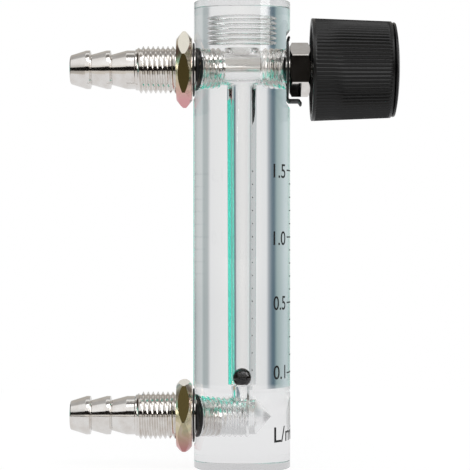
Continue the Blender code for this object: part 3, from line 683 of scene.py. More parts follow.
@dataclass
class ClearBody:
    """Clear bar with its tapered bore, two tapped cross ports and the cemented plug on top.

    The cement joins bar and plug optically, so both are one piece here: only its thread's roots stay hollow.
    """

    height: float = 118.0 * MM
    edge: float = 0.2 * MM
    facets: int = 288
    port_facets: int = 96
    outside: float = 14.5 * MM
    back_face: float = -11.85 * MM
    back_spot_radius: float = 7.5 * MM
    back_groove: float = -8.7 * MM
    front_face: float = 11.1 * MM
    front_spot_radius: float = 10.2 * MM
    front_groove: float = 9.1 * MM
    groove_radius: float = 5.43 * MM
    thread_radius: float = 5.12 * MM
    thread_pitch: float = 1.0 * MM
    tap_radius: float = 4.4 * MM
    passage_radius: float = 1.85 * MM
    thread_flat: float = 0.03
    plug_radius: float = 6.0 * MM
    plug_pitch: float = 1.25 * MM
    plug_low: float = 106.95 * MM
    plug_turns: int = 6
    hollow_radius: float = 3.0 * MM
    hollow_end: float = 0.9 * MM
    void_depth: float = 0.35 * MM
    void_half: float = 0.3 * MM

    def build(self) -> Object:
        """Turn the bar and cut everything that is drilled and tapped into it."""
        deselect()
        bpy.ops.mesh.primitive_cylinder_add(
            vertices=self.facets, radius=BODY_RADIUS, depth=self.height, location=(0.0, 0.0, self.height / 2)
        )
        bar = bpy.context.object
        bar.name = "clear_bar"
        bar.data.name = "clear_bar"
        bevel(bar, self.edge, segments=4)
        for tool in (self.bore_tool(), self.plug_tool(), self.upper_tool(), self.lower_tool()):
            carve(bar, tool)
        return settle(bar, 24.0)

    def bore_tool(self) -> Object:
        """Cutter of the tapered bore, its ball seat and the gas passage under it."""
        profile = [
            (UPPER_PORT, 0.0), (UPPER_PORT, 2.65 * MM),
            (21.2 * MM, 2.45 * MM), (20.8 * MM, self.passage_radius),
            (LOWER_PORT, self.passage_radius), (LOWER_PORT, 0.0),
        ]
        return spun("bore_tool", profile, Axis.BODY, steps=96)

    def plug_tool(self) -> Object:
        """Cutter of the hollow under the plug and of the voids at its thread's roots."""
        root = self.plug_radius - self.void_depth
        end = self.plug_low - self.hollow_end
        hollow = [(UPPER_PORT, 0.0), (UPPER_PORT, self.hollow_radius), (end, self.hollow_radius), (end, 0.0)]
        tools = [spun("plug_tool", hollow, Axis.BODY, steps=self.port_facets)]
        for turn in range(self.plug_turns):
            x = self.plug_low + (turn + 0.5) * self.plug_pitch
            start, end = x - self.void_half, x + self.void_half
            void = [(start, root), (x, self.plug_radius), (end, root), (start, root)]
            tools.append(spun("thread_void", void, Axis.BODY, steps=self.port_facets))
        return join(tools)

    def back_steps(self, thread_end: float, inner: float) -> Profile:
        """Profile of a back port from its spot face in, tapped to one place and bored to another."""
        ridges = ridge_profile(
            self.thread_radius, self.thread_pitch, self.back_groove, thread_end, flat=self.thread_flat
        )
        return [
            (-self.outside, 0.0), (-self.outside, self.back_spot_radius), (self.back_face, self.back_spot_radius),
            (self.back_face, self.groove_radius), (self.back_groove, self.groove_radius),
            *ridges,
            (ridges[-1][0], self.tap_radius), (inner, self.tap_radius),
        ]

    def upper_tool(self) -> Object:
        """Cutter of the upper cross port, from the barb side through to the valve's spot face."""
        ridges = ridge_profile(
            self.thread_radius, self.thread_pitch, 3.6 * MM, self.front_groove, flat=self.thread_flat
        )
        profile = self.back_steps(-3.05 * MM, 3.4 * MM) + [
            *ridges,
            (self.front_groove, ridges[-1][1]), (self.front_groove, self.groove_radius),
            (self.front_face, self.groove_radius), (self.front_face, self.front_spot_radius),
            (self.outside, self.front_spot_radius), (self.outside, 0.0),
        ]
        return spun("upper_tool", profile, Axis.PORT, UPPER_PORT, self.port_facets)

    def lower_tool(self) -> Object:
        """Cutter of the lower blind port with its drill point."""
        profile = self.back_steps(1.4 * MM, 2.4 * MM) + [(5.04 * MM, 0.0)]
        return spun("lower_tool", profile, Axis.PORT, LOWER_PORT, self.port_facets)

    def dress(self, acrylic: Material) -> None:
        """Build the bar and hand it over."""
        hand_over(self.build(), acrylic, "root", Slot.ACRYLIC, "body", "top_plug")


@dataclass
class FloatBall:
    """Ball that the gas lifts in the bore."""

    radius: float = 2.35 * MM
    arc_points: int = 33

    def dress(self, glass: Material) -> None:
        """Spin a half circle into the ball and hand it over."""
        low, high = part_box("float_ball")
        centre = (low.z + high.z) / 2
        arc = [math.pi * step / (self.arc_points - 1) for step in range(self.arc_points)]
        profile = [(centre - self.radius * math.cos(turn), self.radius * math.sin(turn)) for turn in arc]
        ball = spun("float_ball_polished", profile, Axis.BODY, steps=64)
        hand_over(ball, glass, "float", Slot.BALL, "float_ball")


@dataclass
class SightStrip:
    """Turquoise strip painted on the back of the bar, which the bar shows as a thin bright line."""

    low: float = 20.5 * MM
    high: float = 93.5 * MM
    start: float = -0.2
    sweep: float = 46.4
    bite: float = 0.02 * MM
    film: float = 0.15 * MM

    def dress(self, paint: Material) -> None:
        """Spin a line part of the way round the bar, thicken it and hand it over.

        The paint wets the acrylic, so its inner face lies a hair inside the bar.
        """
        radius = BODY_RADIUS - self.bite
        strip = spun(
            "sight_strip_paint", [(self.low, radius), (self.high, radius)], Axis.BODY, steps=36,
            angle=math.radians(self.sweep),
        )
        angles = [math.atan2(vert.co.y, vert.co.x) for vert in strip.data.vertices]
        middle = (min(angles) + max(angles)) / 2
        wanted = math.pi - math.radians(self.sweep / 2 - self.start)
        strip.data.transform(Matrix.Rotation(wanted - middle, 4, "Z"))
        thicken(strip, self.film)
        hand_over(settle(strip, 40.0), paint, "root", Slot.STRIP, "sight_strip")


@dataclass
class ScalePrint:
    """Printed scale on the bar: ticks every tenth, four numbers and the unit of flow."""

    ticks: ClassVar[dict[str, float]] = {"1.5": 75.2, "1.0": 58.4, "0.5": 41.9, "0.1": 24.25}
    texts: ClassVar[dict[str, float]] = {"1.5": 74.9, "1.0": 58.1, "0.5": 41.9, "0.1": 24.6}
    tick_height: float = 0.26 * MM
    long_height: float = 0.36 * MM
    tick_start: float = 14.5
    long_start: float = 24.0
    tick_end: float = 1.0
    number_start: float = 50.5
    number_end: float = 28.0
    number_height: float = 3.5 * MM
    unit_start: float = 49.5
    unit_end: float = -11.5
    unit_height: float = 3.9 * MM
    unit_place: float = 9.05 * MM
    film: float = 0.03 * MM
    film_gap: float = 0.004 * MM
    column_degrees: float = 2.5
    stroke_gain: float = 0.006
    bold_within: float = 0.1 * MM

    def wrap(self, piece: Object, start: float, end: float) -> None:
        """Cut a flat print into columns and lay it round the bar.

        Args:
            piece: Flat mesh in the XZ plane.
            start: Degrees from +X towards the viewer where its left side goes.
            end: Degrees where its right side goes.
        """
        left = min(vert.co.x for vert in piece.data.vertices)
        right = max(vert.co.x for vert in piece.data.vertices)
        columns = max(2, int(abs(start - end) / self.column_degrees))
        pick(piece)
        bpy.ops.object.mode_set(mode="EDIT")
        for column in range(1, columns):
            x = left + (right - left) * column / columns
            bpy.ops.mesh.select_all(action="SELECT")
            bpy.ops.mesh.bisect(plane_co=(x, 0.0, 0.0), plane_no=(1.0, 0.0, 0.0))
        bpy.ops.object.mode_set(mode="OBJECT")
        radius = BODY_RADIUS + self.film_gap
        for vert in piece.data.vertices:
            share = (vert.co.x - left) / (right - left)
            turn = math.radians(start + (end - start) * share)
            vert.co.x = radius * math.cos(turn)
            vert.co.y = -radius * math.sin(turn)
        thicken(piece, self.film)

    def lettering(self, text: str, height: float, middle: float, start: float, end: float) -> Object:
        """Type a short text, turn it to a mesh, size it and lay it round the bar.

        Args:
            text: Plain number or unit.
            height: Height of its tallest letter.
            middle: Height on the bar of the text's middle.
            start: Degrees where it starts.
            end: Degrees where it ends.

        Returns:
            The wrapped text.
        """
        deselect()
        bpy.ops.object.text_add(rotation=(math.pi / 2, 0.0, 0.0))
        label = bpy.context.object
        label.data.body = text
        label.data.offset = self.stroke_gain
        label.data.resolution_u = 6
        bpy.ops.object.convert(target="MESH")
        label = bpy.context.object
        bpy.ops.object.transform_apply(location=True, rotation=True, scale=True)
        heights = [vert.co.z for vert in label.data.vertices]
        scale = height / (max(heights) - min(heights))
        shift = middle - scale * (max(heights) + min(heights)) / 2
        for vert in label.data.vertices:
            vert.co.z = vert.co.z * scale + shift
        self.wrap(label, start, end)
        return label

    def tick(self, height: float) -> Object:
        """Return one tick line at a height, laid round the bar, longer and bolder beside a number."""
        bold = any(abs(height - place * MM) < self.bold_within for place in self.ticks.values())
        deselect()
        bpy.ops.mesh.primitive_plane_add(size=1.0, location=(0.0, 0.0, height), rotation=(math.pi / 2, 0.0, 0.0))
        line = bpy.context.object
        line.scale = (5.0 * MM, self.long_height if bold else self.tick_height, 1.0)
        bpy.ops.object.transform_apply(location=True, rotation=True, scale=True)
        self.wrap(line, self.long_start if bold else self.tick_start, self.tick_end)
        return line

    def tick_heights(self) -> list[float]:
        """Heights of the ticks from 0.1 to 1.5, evenly spread between the numbered ones."""
        marks = sorted((float(text), place * MM) for text, place in self.ticks.items())
        heights = [marks[0][1]]
        for (value, place), (next_value, next_place) in pairwise(marks):
            count = round((next_value - value) * 10)
            heights += [place + (next_place - place) * step / count for step in range(1, count + 1)]
        return heights

    def dress(self, ink: Material) -> None:
        """Print the ticks, the numbers and the unit, each as one piece."""
        ticks = join([self.tick(height) for height in self.tick_heights()])
        ticks.name = "scale_ticks"
        texts = [
            self.lettering(text, self.number_height, place * MM, self.number_start, self.number_end)
            for text, place in self.texts.items()
        ]
        numbers = join(texts)
        numbers.name = "scale_numbers"
        unit = self.lettering("L/min", self.unit_height, self.unit_place, self.unit_start, self.unit_end)
        unit.name = "scale_unit"
        for piece in (ticks, numbers, unit):
            hand_over(settle(piece, 40.0), ink, "root", Slot.RUBBER)


@dataclass
class HoseFitting:
    """Nickel-plated fitting: port thread, seal groove, panel thread and two hose barbs."""

    port: str
    height: float
    seat_radius: float
    thread_radius: float = 5.05 * MM
    mount_radius: float = 6.0 * MM
    mount_pitch: float = 1.25 * MM
    bore: float = 2.2 * MM
    break_edge: float = 0.07 * MM
    port_end: float = -3.3 * MM
    seal_groove: tuple[float, float] = (-8.7 * MM, -11.8 * MM)
    groove_radius: float = 3.55 * MM
    panel_thread: tuple[float, float] = (-12.1 * MM, -27.0 * MM)
    seat_depth: float = -4.9 * MM
    facets: int = 120
    barbs: ClassVar[Profile] = mm(
        (-27.2, 4.9), (-29.3, 4.9), (-33.15, 3.85), (-33.45, 4.9), (-34.45, 4.9), (-38.3, 3.85), (-38.6, 4.9),
        (-39.6, 4.9), (-43.45, 3.7), (-43.65, 3.5),
    )

    def dress(self, nickel: Material) -> None:
        """Turn the core, wind both threads on it and hand the fitting over."""
        root = self.mount_radius - self.mount_pitch * RIDGE_RATIO
        port_root = self.thread_radius - 1.0 * MM * RIDGE_RATIO
        groove_start, groove_end = self.seal_groove
        panel_start, panel_end = self.panel_thread
        tip = self.barbs[-1][0]
        outside = [
            (self.port_end, port_root - 0.2 * MM), (-3.6 * MM, port_root), (groove_start, port_root),
            (groove_start, self.groove_radius), (groove_end, self.groove_radius),
            (groove_end, 5.3 * MM), (panel_start, 5.3 * MM), (panel_start, root), (panel_end, root),
            *self.barbs,
            (tip, self.bore + 0.2 * MM),
        ]
        inside = [
            (-43.45 * MM, self.bore), (self.seat_depth - (self.bore - self.seat_radius), self.bore),
            (self.seat_depth, self.seat_radius), (self.port_end, self.seat_radius),
            outside[0],
        ]
        core = spun(
            f"hose_fitting_{self.port}", soften(outside, self.break_edge) + inside, Axis.PORT, self.height, self.facets
        )
        mount = helix("mount_thread", self.mount_radius, self.mount_pitch, panel_end, panel_start, self.height)
        shank = helix("port_thread", self.thread_radius, 1.0 * MM, groove_start, self.port_end, self.height)
        fitting = join([core, mount, shank])
        hand_over(fitting, nickel, "root", Slot.NICKEL, f"{self.port}_fitting")


@dataclass
class SealRing:
    """Moulded seal: an O-ring, or a longer ring with rounded edges."""

    node: str
    body: str
    x: float
    height: float
    mid_radius: float = 4.55 * MM
    section: float = 1.8 * MM
    length: float = 1.8 * MM
    corner: float = 0.9 * MM
    corner_points: int = 7

    def dress(self, rubber: Material) -> None:
        """Spin the ring's rounded section round the port axis and hand it over."""
        profile = []
        for quarter, (along, out) in enumerate(((1, 1), (-1, 1), (-1, -1), (1, -1))):
            middle_x = self.x + along * (self.length / 2 - self.corner)
            middle_out = self.mid_radius + out * (self.section / 2 - self.corner)
            for step in range(self.corner_points):
                turn = math.pi / 2 * (quarter + step / (self.corner_points - 1))
                profile.append((middle_x + self.corner * math.cos(turn), middle_out + self.corner * math.sin(turn)))
        profile.append(profile[0])
        ring = spun(f"{self.node}_ring", profile, Axis.PORT, self.height, 96)
        hand_over(ring, rubber, self.body, Slot.RUBBER, self.node)


@dataclass
class PanelNut:
    """Hexagon nut with a real inner thread, and the thin washer behind it."""

    port: str
    height: float
    corner_turn: float
    across: float = 17.0 * MM
    low: float = -16.65 * MM
    high: float = -12.75 * MM
    face: float = 7.905 * MM
    slant: float = 40.0
    hole: float = 6.25 * MM
    pitch: float = 1.25 * MM
    thread_depth: float = 0.35
    washer: ClassVar[Profile] = mm(
        (-12.5, 6.25), (-12.5, 6.74), (-12.44, 6.8), (-12.16, 6.8), (-12.1, 6.74), (-12.1, 6.25), (-12.5, 6.25)
    )

    def dress(self, zinc: Material, rubber: Material) -> None:
        """Cut the nut from a prism, turn its washer and hand both over."""
        nut = hexagon(
            f"panel_nut_{self.port}", self.across, self.low, self.high, self.corner_turn, self.height, self.face,
            self.slant,
        )
        start = self.low + 0.55 * self.pitch
        mouth = self.hole + 0.5 * MM
        clear = 1.0 * MM
        tool = [
            (self.low - clear, 0.0), (self.low - clear, self.hole + clear), (self.low, mouth),
            *ridge_profile(self.hole, self.pitch, start, self.high - 0.3 * self.pitch, self.thread_depth),
            (self.high, mouth), (self.high + clear, self.hole + clear), (self.high + clear, 0.0),
        ]
        carve(nut, spun("nut_tool", tool, Axis.PORT, self.height, 96))
        hand_over(settle(nut), zinc, f"{self.port}_nut", Slot.ZINC, f"{self.port}_nut")
        washer = spun(f"panel_washer_{self.port}", self.washer, Axis.PORT, self.height, 96)
        hand_over(washer, rubber, f"{self.port}_washer", Slot.RUBBER, f"{self.port}_washer")


@dataclass
class ValveBonnet:
    """Bonnet that screws into the upper port and guides the spindle, with its bent tab washer."""

    across: float = 12.0 * MM
    low: float = 12.05 * MM
    high: float = 17.3 * MM
    corner_turn: float = 27.0
    face_inset: float = 0.15 * MM
    slant: float = 30.0
    bore: float = 2.75 * MM
    thread_radius: float = 5.05 * MM
    thread_low: float = 3.9 * MM
    thread_high: float = 9.1 * MM
    groove_radius: float = 3.55 * MM
    sheet_edge: float = 0.06 * MM
    rim_within: float = 0.01 * MM
    washer_radius: float = 7.6 * MM
    washer_hole: float = 5.3 * MM
    washer_x: float = 11.575 * MM
    washer_sheet: float = 0.45 * MM
    tab_half_width: float = 3.2 * MM
    tab: ClassVar[Profile] = [(0.0, 0.4), (0.15, 0.65), (0.4, 0.8), (2.6, 0.8), (2.85, 0.9), (3.0, 1.1), (3.4, 1.7)]
    curl: ClassVar[Profile] = [(0.08, 0.3), (0.2, 0.6), (0.5, 0.9)]

    def build_bonnet(self, nickel: Material) -> None:
        """Cut the hexagon, add its threaded shank, bore it and hand it over."""
        bonnet = hexagon(
            "valve_bonnet_plated", self.across, self.low, self.high, self.corner_turn, UPPER_PORT,
            self.across / 2 - self.face_inset, self.slant,
        )
        root = self.thread_radius - 1.0 * MM * RIDGE_RATIO
        inside = self.high - 1.0 * MM
        shank = [
            (inside, 0.0), (inside, self.groove_radius), (self.thread_high, self.groove_radius),
            (self.thread_high, root), (4.2 * MM, root), (self.thread_low, root - 0.3 * MM), (self.thread_low, 0.0),
        ]
        carve(bonnet, spun("bonnet_shank", shank, Axis.PORT, UPPER_PORT, 96), "UNION")
        bore = [
            (self.high + 1.0 * MM, 0.0), (self.high + 1.0 * MM, self.bore + 1.4 * MM),
            (self.high - 0.4 * MM, self.bore), (3.0 * MM, self.bore), (3.0 * MM, 0.0),
        ]
        carve(bonnet, spun("bonnet_bore", bore, Axis.PORT, UPPER_PORT, 96))
        thread = helix(
            "bonnet_thread", self.thread_radius, 1.0 * MM, self.thread_low, self.thread_high, UPPER_PORT
        )
        hand_over(join([settle(bonnet), thread]), nickel, "root", Slot.NICKEL, "valve_bonnet")

    def build_washer(self, steel: Material) -> None:
        """Draw the sheet washer, pull its two tabs out of the rim and hand it over.

        Each row of a tab is its millimetres along X and away from the axis.
        """
        deselect()
        bpy.ops.mesh.primitive_circle_add(
            vertices=96, radius=self.washer_radius, location=(self.washer_x, 0.0, UPPER_PORT),
            rotation=(0.0, math.pi / 2, 0.0),
        )
        sheet = bpy.context.object
        sheet.name = "tab_washer_blackened"
        sheet.data.name = "tab_washer_blackened"
        bpy.ops.object.transform_apply(location=True, rotation=True, scale=True)
        enter_edit()
        bpy.ops.mesh.extrude_edges_move()
        share = self.washer_hole / self.washer_radius
        bpy.ops.transform.resize(value=(1.0, share, share), center_override=(self.washer_x, 0.0, UPPER_PORT))
        for side, rows in ((-1.0, self.tab), (1.0, self.curl)):
            bpy.ops.object.mode_set(mode="OBJECT")
            self.select_rim(sheet, side)
            bpy.ops.object.mode_set(mode="EDIT")
            for (reach_before, rise_before), (reach, rise) in pairwise([(0.0, 0.0), *rows]):
                step = ((reach - reach_before) * MM, 0.0, side * (rise - rise_before) * MM)
                bpy.ops.mesh.extrude_edges_move(TRANSFORM_OT_translate={"value": step})
        bpy.ops.object.mode_set(mode="OBJECT")
        apply_modifier(sheet, "SOLIDIFY", thickness=self.washer_sheet, offset=0.0, use_even_offset=True)
        bevel(sheet, self.sheet_edge, sharp=60.0)
        hand_over(settle(sheet, 40.0), steel, "root", Slot.BLACK_STEEL, "valve_tab_washer")

    def select_rim(self, sheet: Object, side: float) -> None:
        """Select the outer rim's edges where a tab starts, below (-1) or above (+1) the axis."""
        for face in sheet.data.polygons:
            face.select = False
        for vert in sheet.data.vertices:
            out = math.hypot(vert.co.y, vert.co.z - UPPER_PORT)
            on_rim = max(abs(out - self.washer_radius), abs(vert.co.x - self.washer_x)) < self.rim_within
            vert.select = on_rim and side * (vert.co.z - UPPER_PORT) > 0 and abs(vert.co.y) < self.tab_half_width
        for edge in sheet.data.edges:
            edge.select = all(sheet.data.vertices[index].select for index in edge.vertices)

    def dress(self, nickel: Material, steel: Material) -> None:
        """Build the bonnet and its washer."""
        self.build_bonnet(nickel)
        self.build_washer(steel)


@dataclass
class NeedleSpindle:
    """Spindle with its needle, fine thread, seal groove and tapped end."""

    radius: float = 2.5 * MM
    stem_radius: float = 1.55 * MM
    tip_x: float = -6.0 * MM
    end_x: float = 33.65 * MM
    thread: tuple[float, float] = (4.9 * MM, 8.9 * MM)
    thread_pitch: float = 0.75 * MM
    groove: tuple[float, float] = (12.4 * MM, 13.6 * MM)
    tapped_radius: float = 1.6 * MM
    edge: float = 0.2 * MM

    def dress(self, nickel: Material) -> None:
        """Turn the spindle and hand it over."""
        thread_start, thread_end = self.thread
        groove_start, groove_end = self.groove
        profile = [
            (self.tip_x, 0.0), (self.tip_x + 0.05 * MM, 0.35 * MM), (self.tip_x + 0.2 * MM, 0.45 * MM),
            (-2.4 * MM, self.stem_radius), (thread_start, self.stem_radius),
            *ridge_profile(self.radius, self.thread_pitch, thread_start, thread_end),
            (thread_end, self.radius), (groove_start, self.radius), (groove_start, self.stem_radius),
            (groove_end, self.stem_radius), (groove_end, self.radius), (self.end_x - self.edge, self.radius),
            (self.end_x, self.radius - self.edge), (self.end_x, self.tapped_radius),
            (28.3 * MM, self.tapped_radius), (27.9 * MM, 0.0),
        ]
        spindle = spun("needle_spindle_plated", profile, Axis.PORT, UPPER_PORT, 72)
        hand_over(spindle, nickel, "spindle", Slot.NICKEL, "needle_spindle")


@dataclass
class Knob:
    """Ribbed knob with an open skirt, its screw and its domed cap."""

    rim_x: float = 17.6 * MM
    end_x: float = 37.9 * MM
    rim_radius: float = 13.05 * MM
    end_radius: float = 12.25 * MM
    ribs: int = 80
    rib_depth: float = 0.40 * MM
    cap_face: float = 38.15 * MM
    cap_radius: float = 12.0 * MM
    cap_rim: float = 0.65 * MM
    cap_dome: float = 0.9 * MM
    cap_edge: float = 0.15 * MM
    spigot_radius: float = 9.4 * MM
    spigot_length: float = 1.5 * MM
    groove_reach: float = 0.35 * MM
    # Millimetres from the rim where the outside has a ring of points.
    stations: ClassVar[tuple[float, ...]] = (
        0.12, 0.5, 0.75, 1.0, 4.0, 8.0, 12.0, 16.0, 18.9, 19.2, 19.5, 19.7, 19.95, 20.15,
    )
    # Column of each rib and its share of the rib's depth.
    columns: ClassVar[tuple[tuple[int, float], ...]] = ((1, 0.45), (3, 0.45), (2, 1.0))
    web_and_hub: ClassVar[Profile] = mm(
        (35.9, 9.5), (35.9, 1.6), (33.9, 1.6), (33.9, 2.6), (18.8, 2.6), (18.8, 4.1), (33.7, 4.6), (33.9, 4.8),
        (33.9, 10.3), (33.7, 10.5),
    )
    screw: ClassVar[Profile] = mm(
        (28.15, 0.0), (28.15, 1.2), (28.4, 1.45), (36.15, 1.45), (36.15, 2.7), (36.25, 2.75), (36.75, 2.75),
        (37.15, 2.3), (37.3, 1.6), (37.35, 0.0),
    )

    def outside(self, x: float) -> float:
        """Radius of the tapered outside at a place along X."""
        share = (x - self.rim_x) / (self.end_x - self.rim_x)
        return self.rim_radius + (self.end_radius - self.rim_radius) * share

    def build_knob(self, plastic: Material) -> None:
        """Turn the knob, pull its grooves inwards column by column and hand it over."""
        ribs_start = self.rim_x + 0.75 * MM
        ribs_end = self.end_x - 0.6 * MM
        profile = [(self.rim_x, 12.0 * MM), (self.rim_x, 12.9 * MM)]
        profile += [(self.rim_x + s * MM, self.outside(self.rim_x + s * MM)) for s in self.stations]
        profile += [
            (self.end_x, 12.05 * MM), (self.end_x, 9.5 * MM),
            *self.web_and_hub,
            (self.rim_x + 0.3 * MM, 11.33 * MM), (self.rim_x, 11.5 * MM), (self.rim_x, 12.0 * MM),
        ]
        knob = spun("knob_moulded", profile, Axis.PORT, UPPER_PORT, self.ribs * 4)
        for column, depth in self.columns:
            self.groove(knob, column, depth * self.rib_depth, ribs_start, ribs_end)
        hand_over(settle(knob, 38.0), plastic, "knob", Slot.KNOB_PLASTIC, "knob")

    def groove(self, knob: Object, column: int, depth: float, start: float, end: float) -> None:
        """Shrink every fourth column of the outside between two places towards the axis.

        Args:
            knob: The turned knob.
            column: Which of each rib's four columns moves.
            depth: How far it moves in.
            start: Place along X where the grooves start.
            end: Place where they end.
        """
        pick(knob)
        enter_edit("DESELECT")
        bpy.ops.mesh.select_mode(type="VERT")
        bpy.ops.object.mode_set(mode="OBJECT")
        for vert in knob.data.vertices:
            out = math.hypot(vert.co.y, vert.co.z - UPPER_PORT)
            turn = math.atan2(vert.co.y, vert.co.z - UPPER_PORT)
            number = round(turn / math.tau * self.ribs * 4) % 4
            outer = out > self.outside(vert.co.x) - self.groove_reach
            vert.select = number == column and outer and start < vert.co.x < end
        bpy.ops.object.mode_set(mode="EDIT")
        share = 1.0 - depth / self.rim_radius
        bpy.ops.transform.resize(value=(1.0, share, share), center_override=(0.0, 0.0, UPPER_PORT))
        bpy.ops.object.mode_set(mode="OBJECT")

    def build_cap(self, plastic: Material) -> None:
        """Turn the domed cap with its spigot and hand it over."""
        base = self.cap_face + self.cap_rim
        face, spigot = self.cap_face, self.spigot_radius
        spigot_end = face - self.spigot_length
        profile = [
            (face, 0.0), (face, spigot - 1.0 * MM), (spigot_end, spigot - 1.0 * MM), (spigot_end, spigot),
            (face, spigot), (face, self.cap_radius - self.cap_edge), (face + self.cap_edge, self.cap_radius),
            (base - 0.2 * MM, self.cap_radius),
        ]
        for step in range(12, -1, -1):
            share = math.sin(math.pi / 2 * step / 12)
            profile.append((base + self.cap_dome * (1 - share**3), (self.cap_radius - 0.12 * MM) * share))
        cap = spun("knob_cap_moulded", profile, Axis.PORT, UPPER_PORT, 144)
        hand_over(settle(cap, 38.0), plastic, "knob", Slot.KNOB_PLASTIC, "knob_cap")

    def build_screw(self, nickel: Material) -> None:
        """Turn the screw, cut its slot and hand it over."""
        screw = spun("knob_screw_plated", self.screw, Axis.PORT, UPPER_PORT, 64)
        deselect()
        bpy.ops.mesh.primitive_cube_add(size=1.0, location=(self.screw[-1][0], 0.0, UPPER_PORT))
        slot = bpy.context.object
        slot.scale = (1.2 * MM, 0.8 * MM, 12.0 * MM)
        bpy.ops.object.transform_apply(location=True, rotation=True, scale=True)
        carve(screw, slot)
        hand_over(settle(screw), nickel, "knob", Slot.NICKEL, "knob_screw")

    def dress(self, plastic: Material, nickel: Material) -> None:
        """Build the knob, its cap and its screw."""
        self.build_knob(plastic)
        self.build_cap(plastic)
        self.build_screw(nickel)


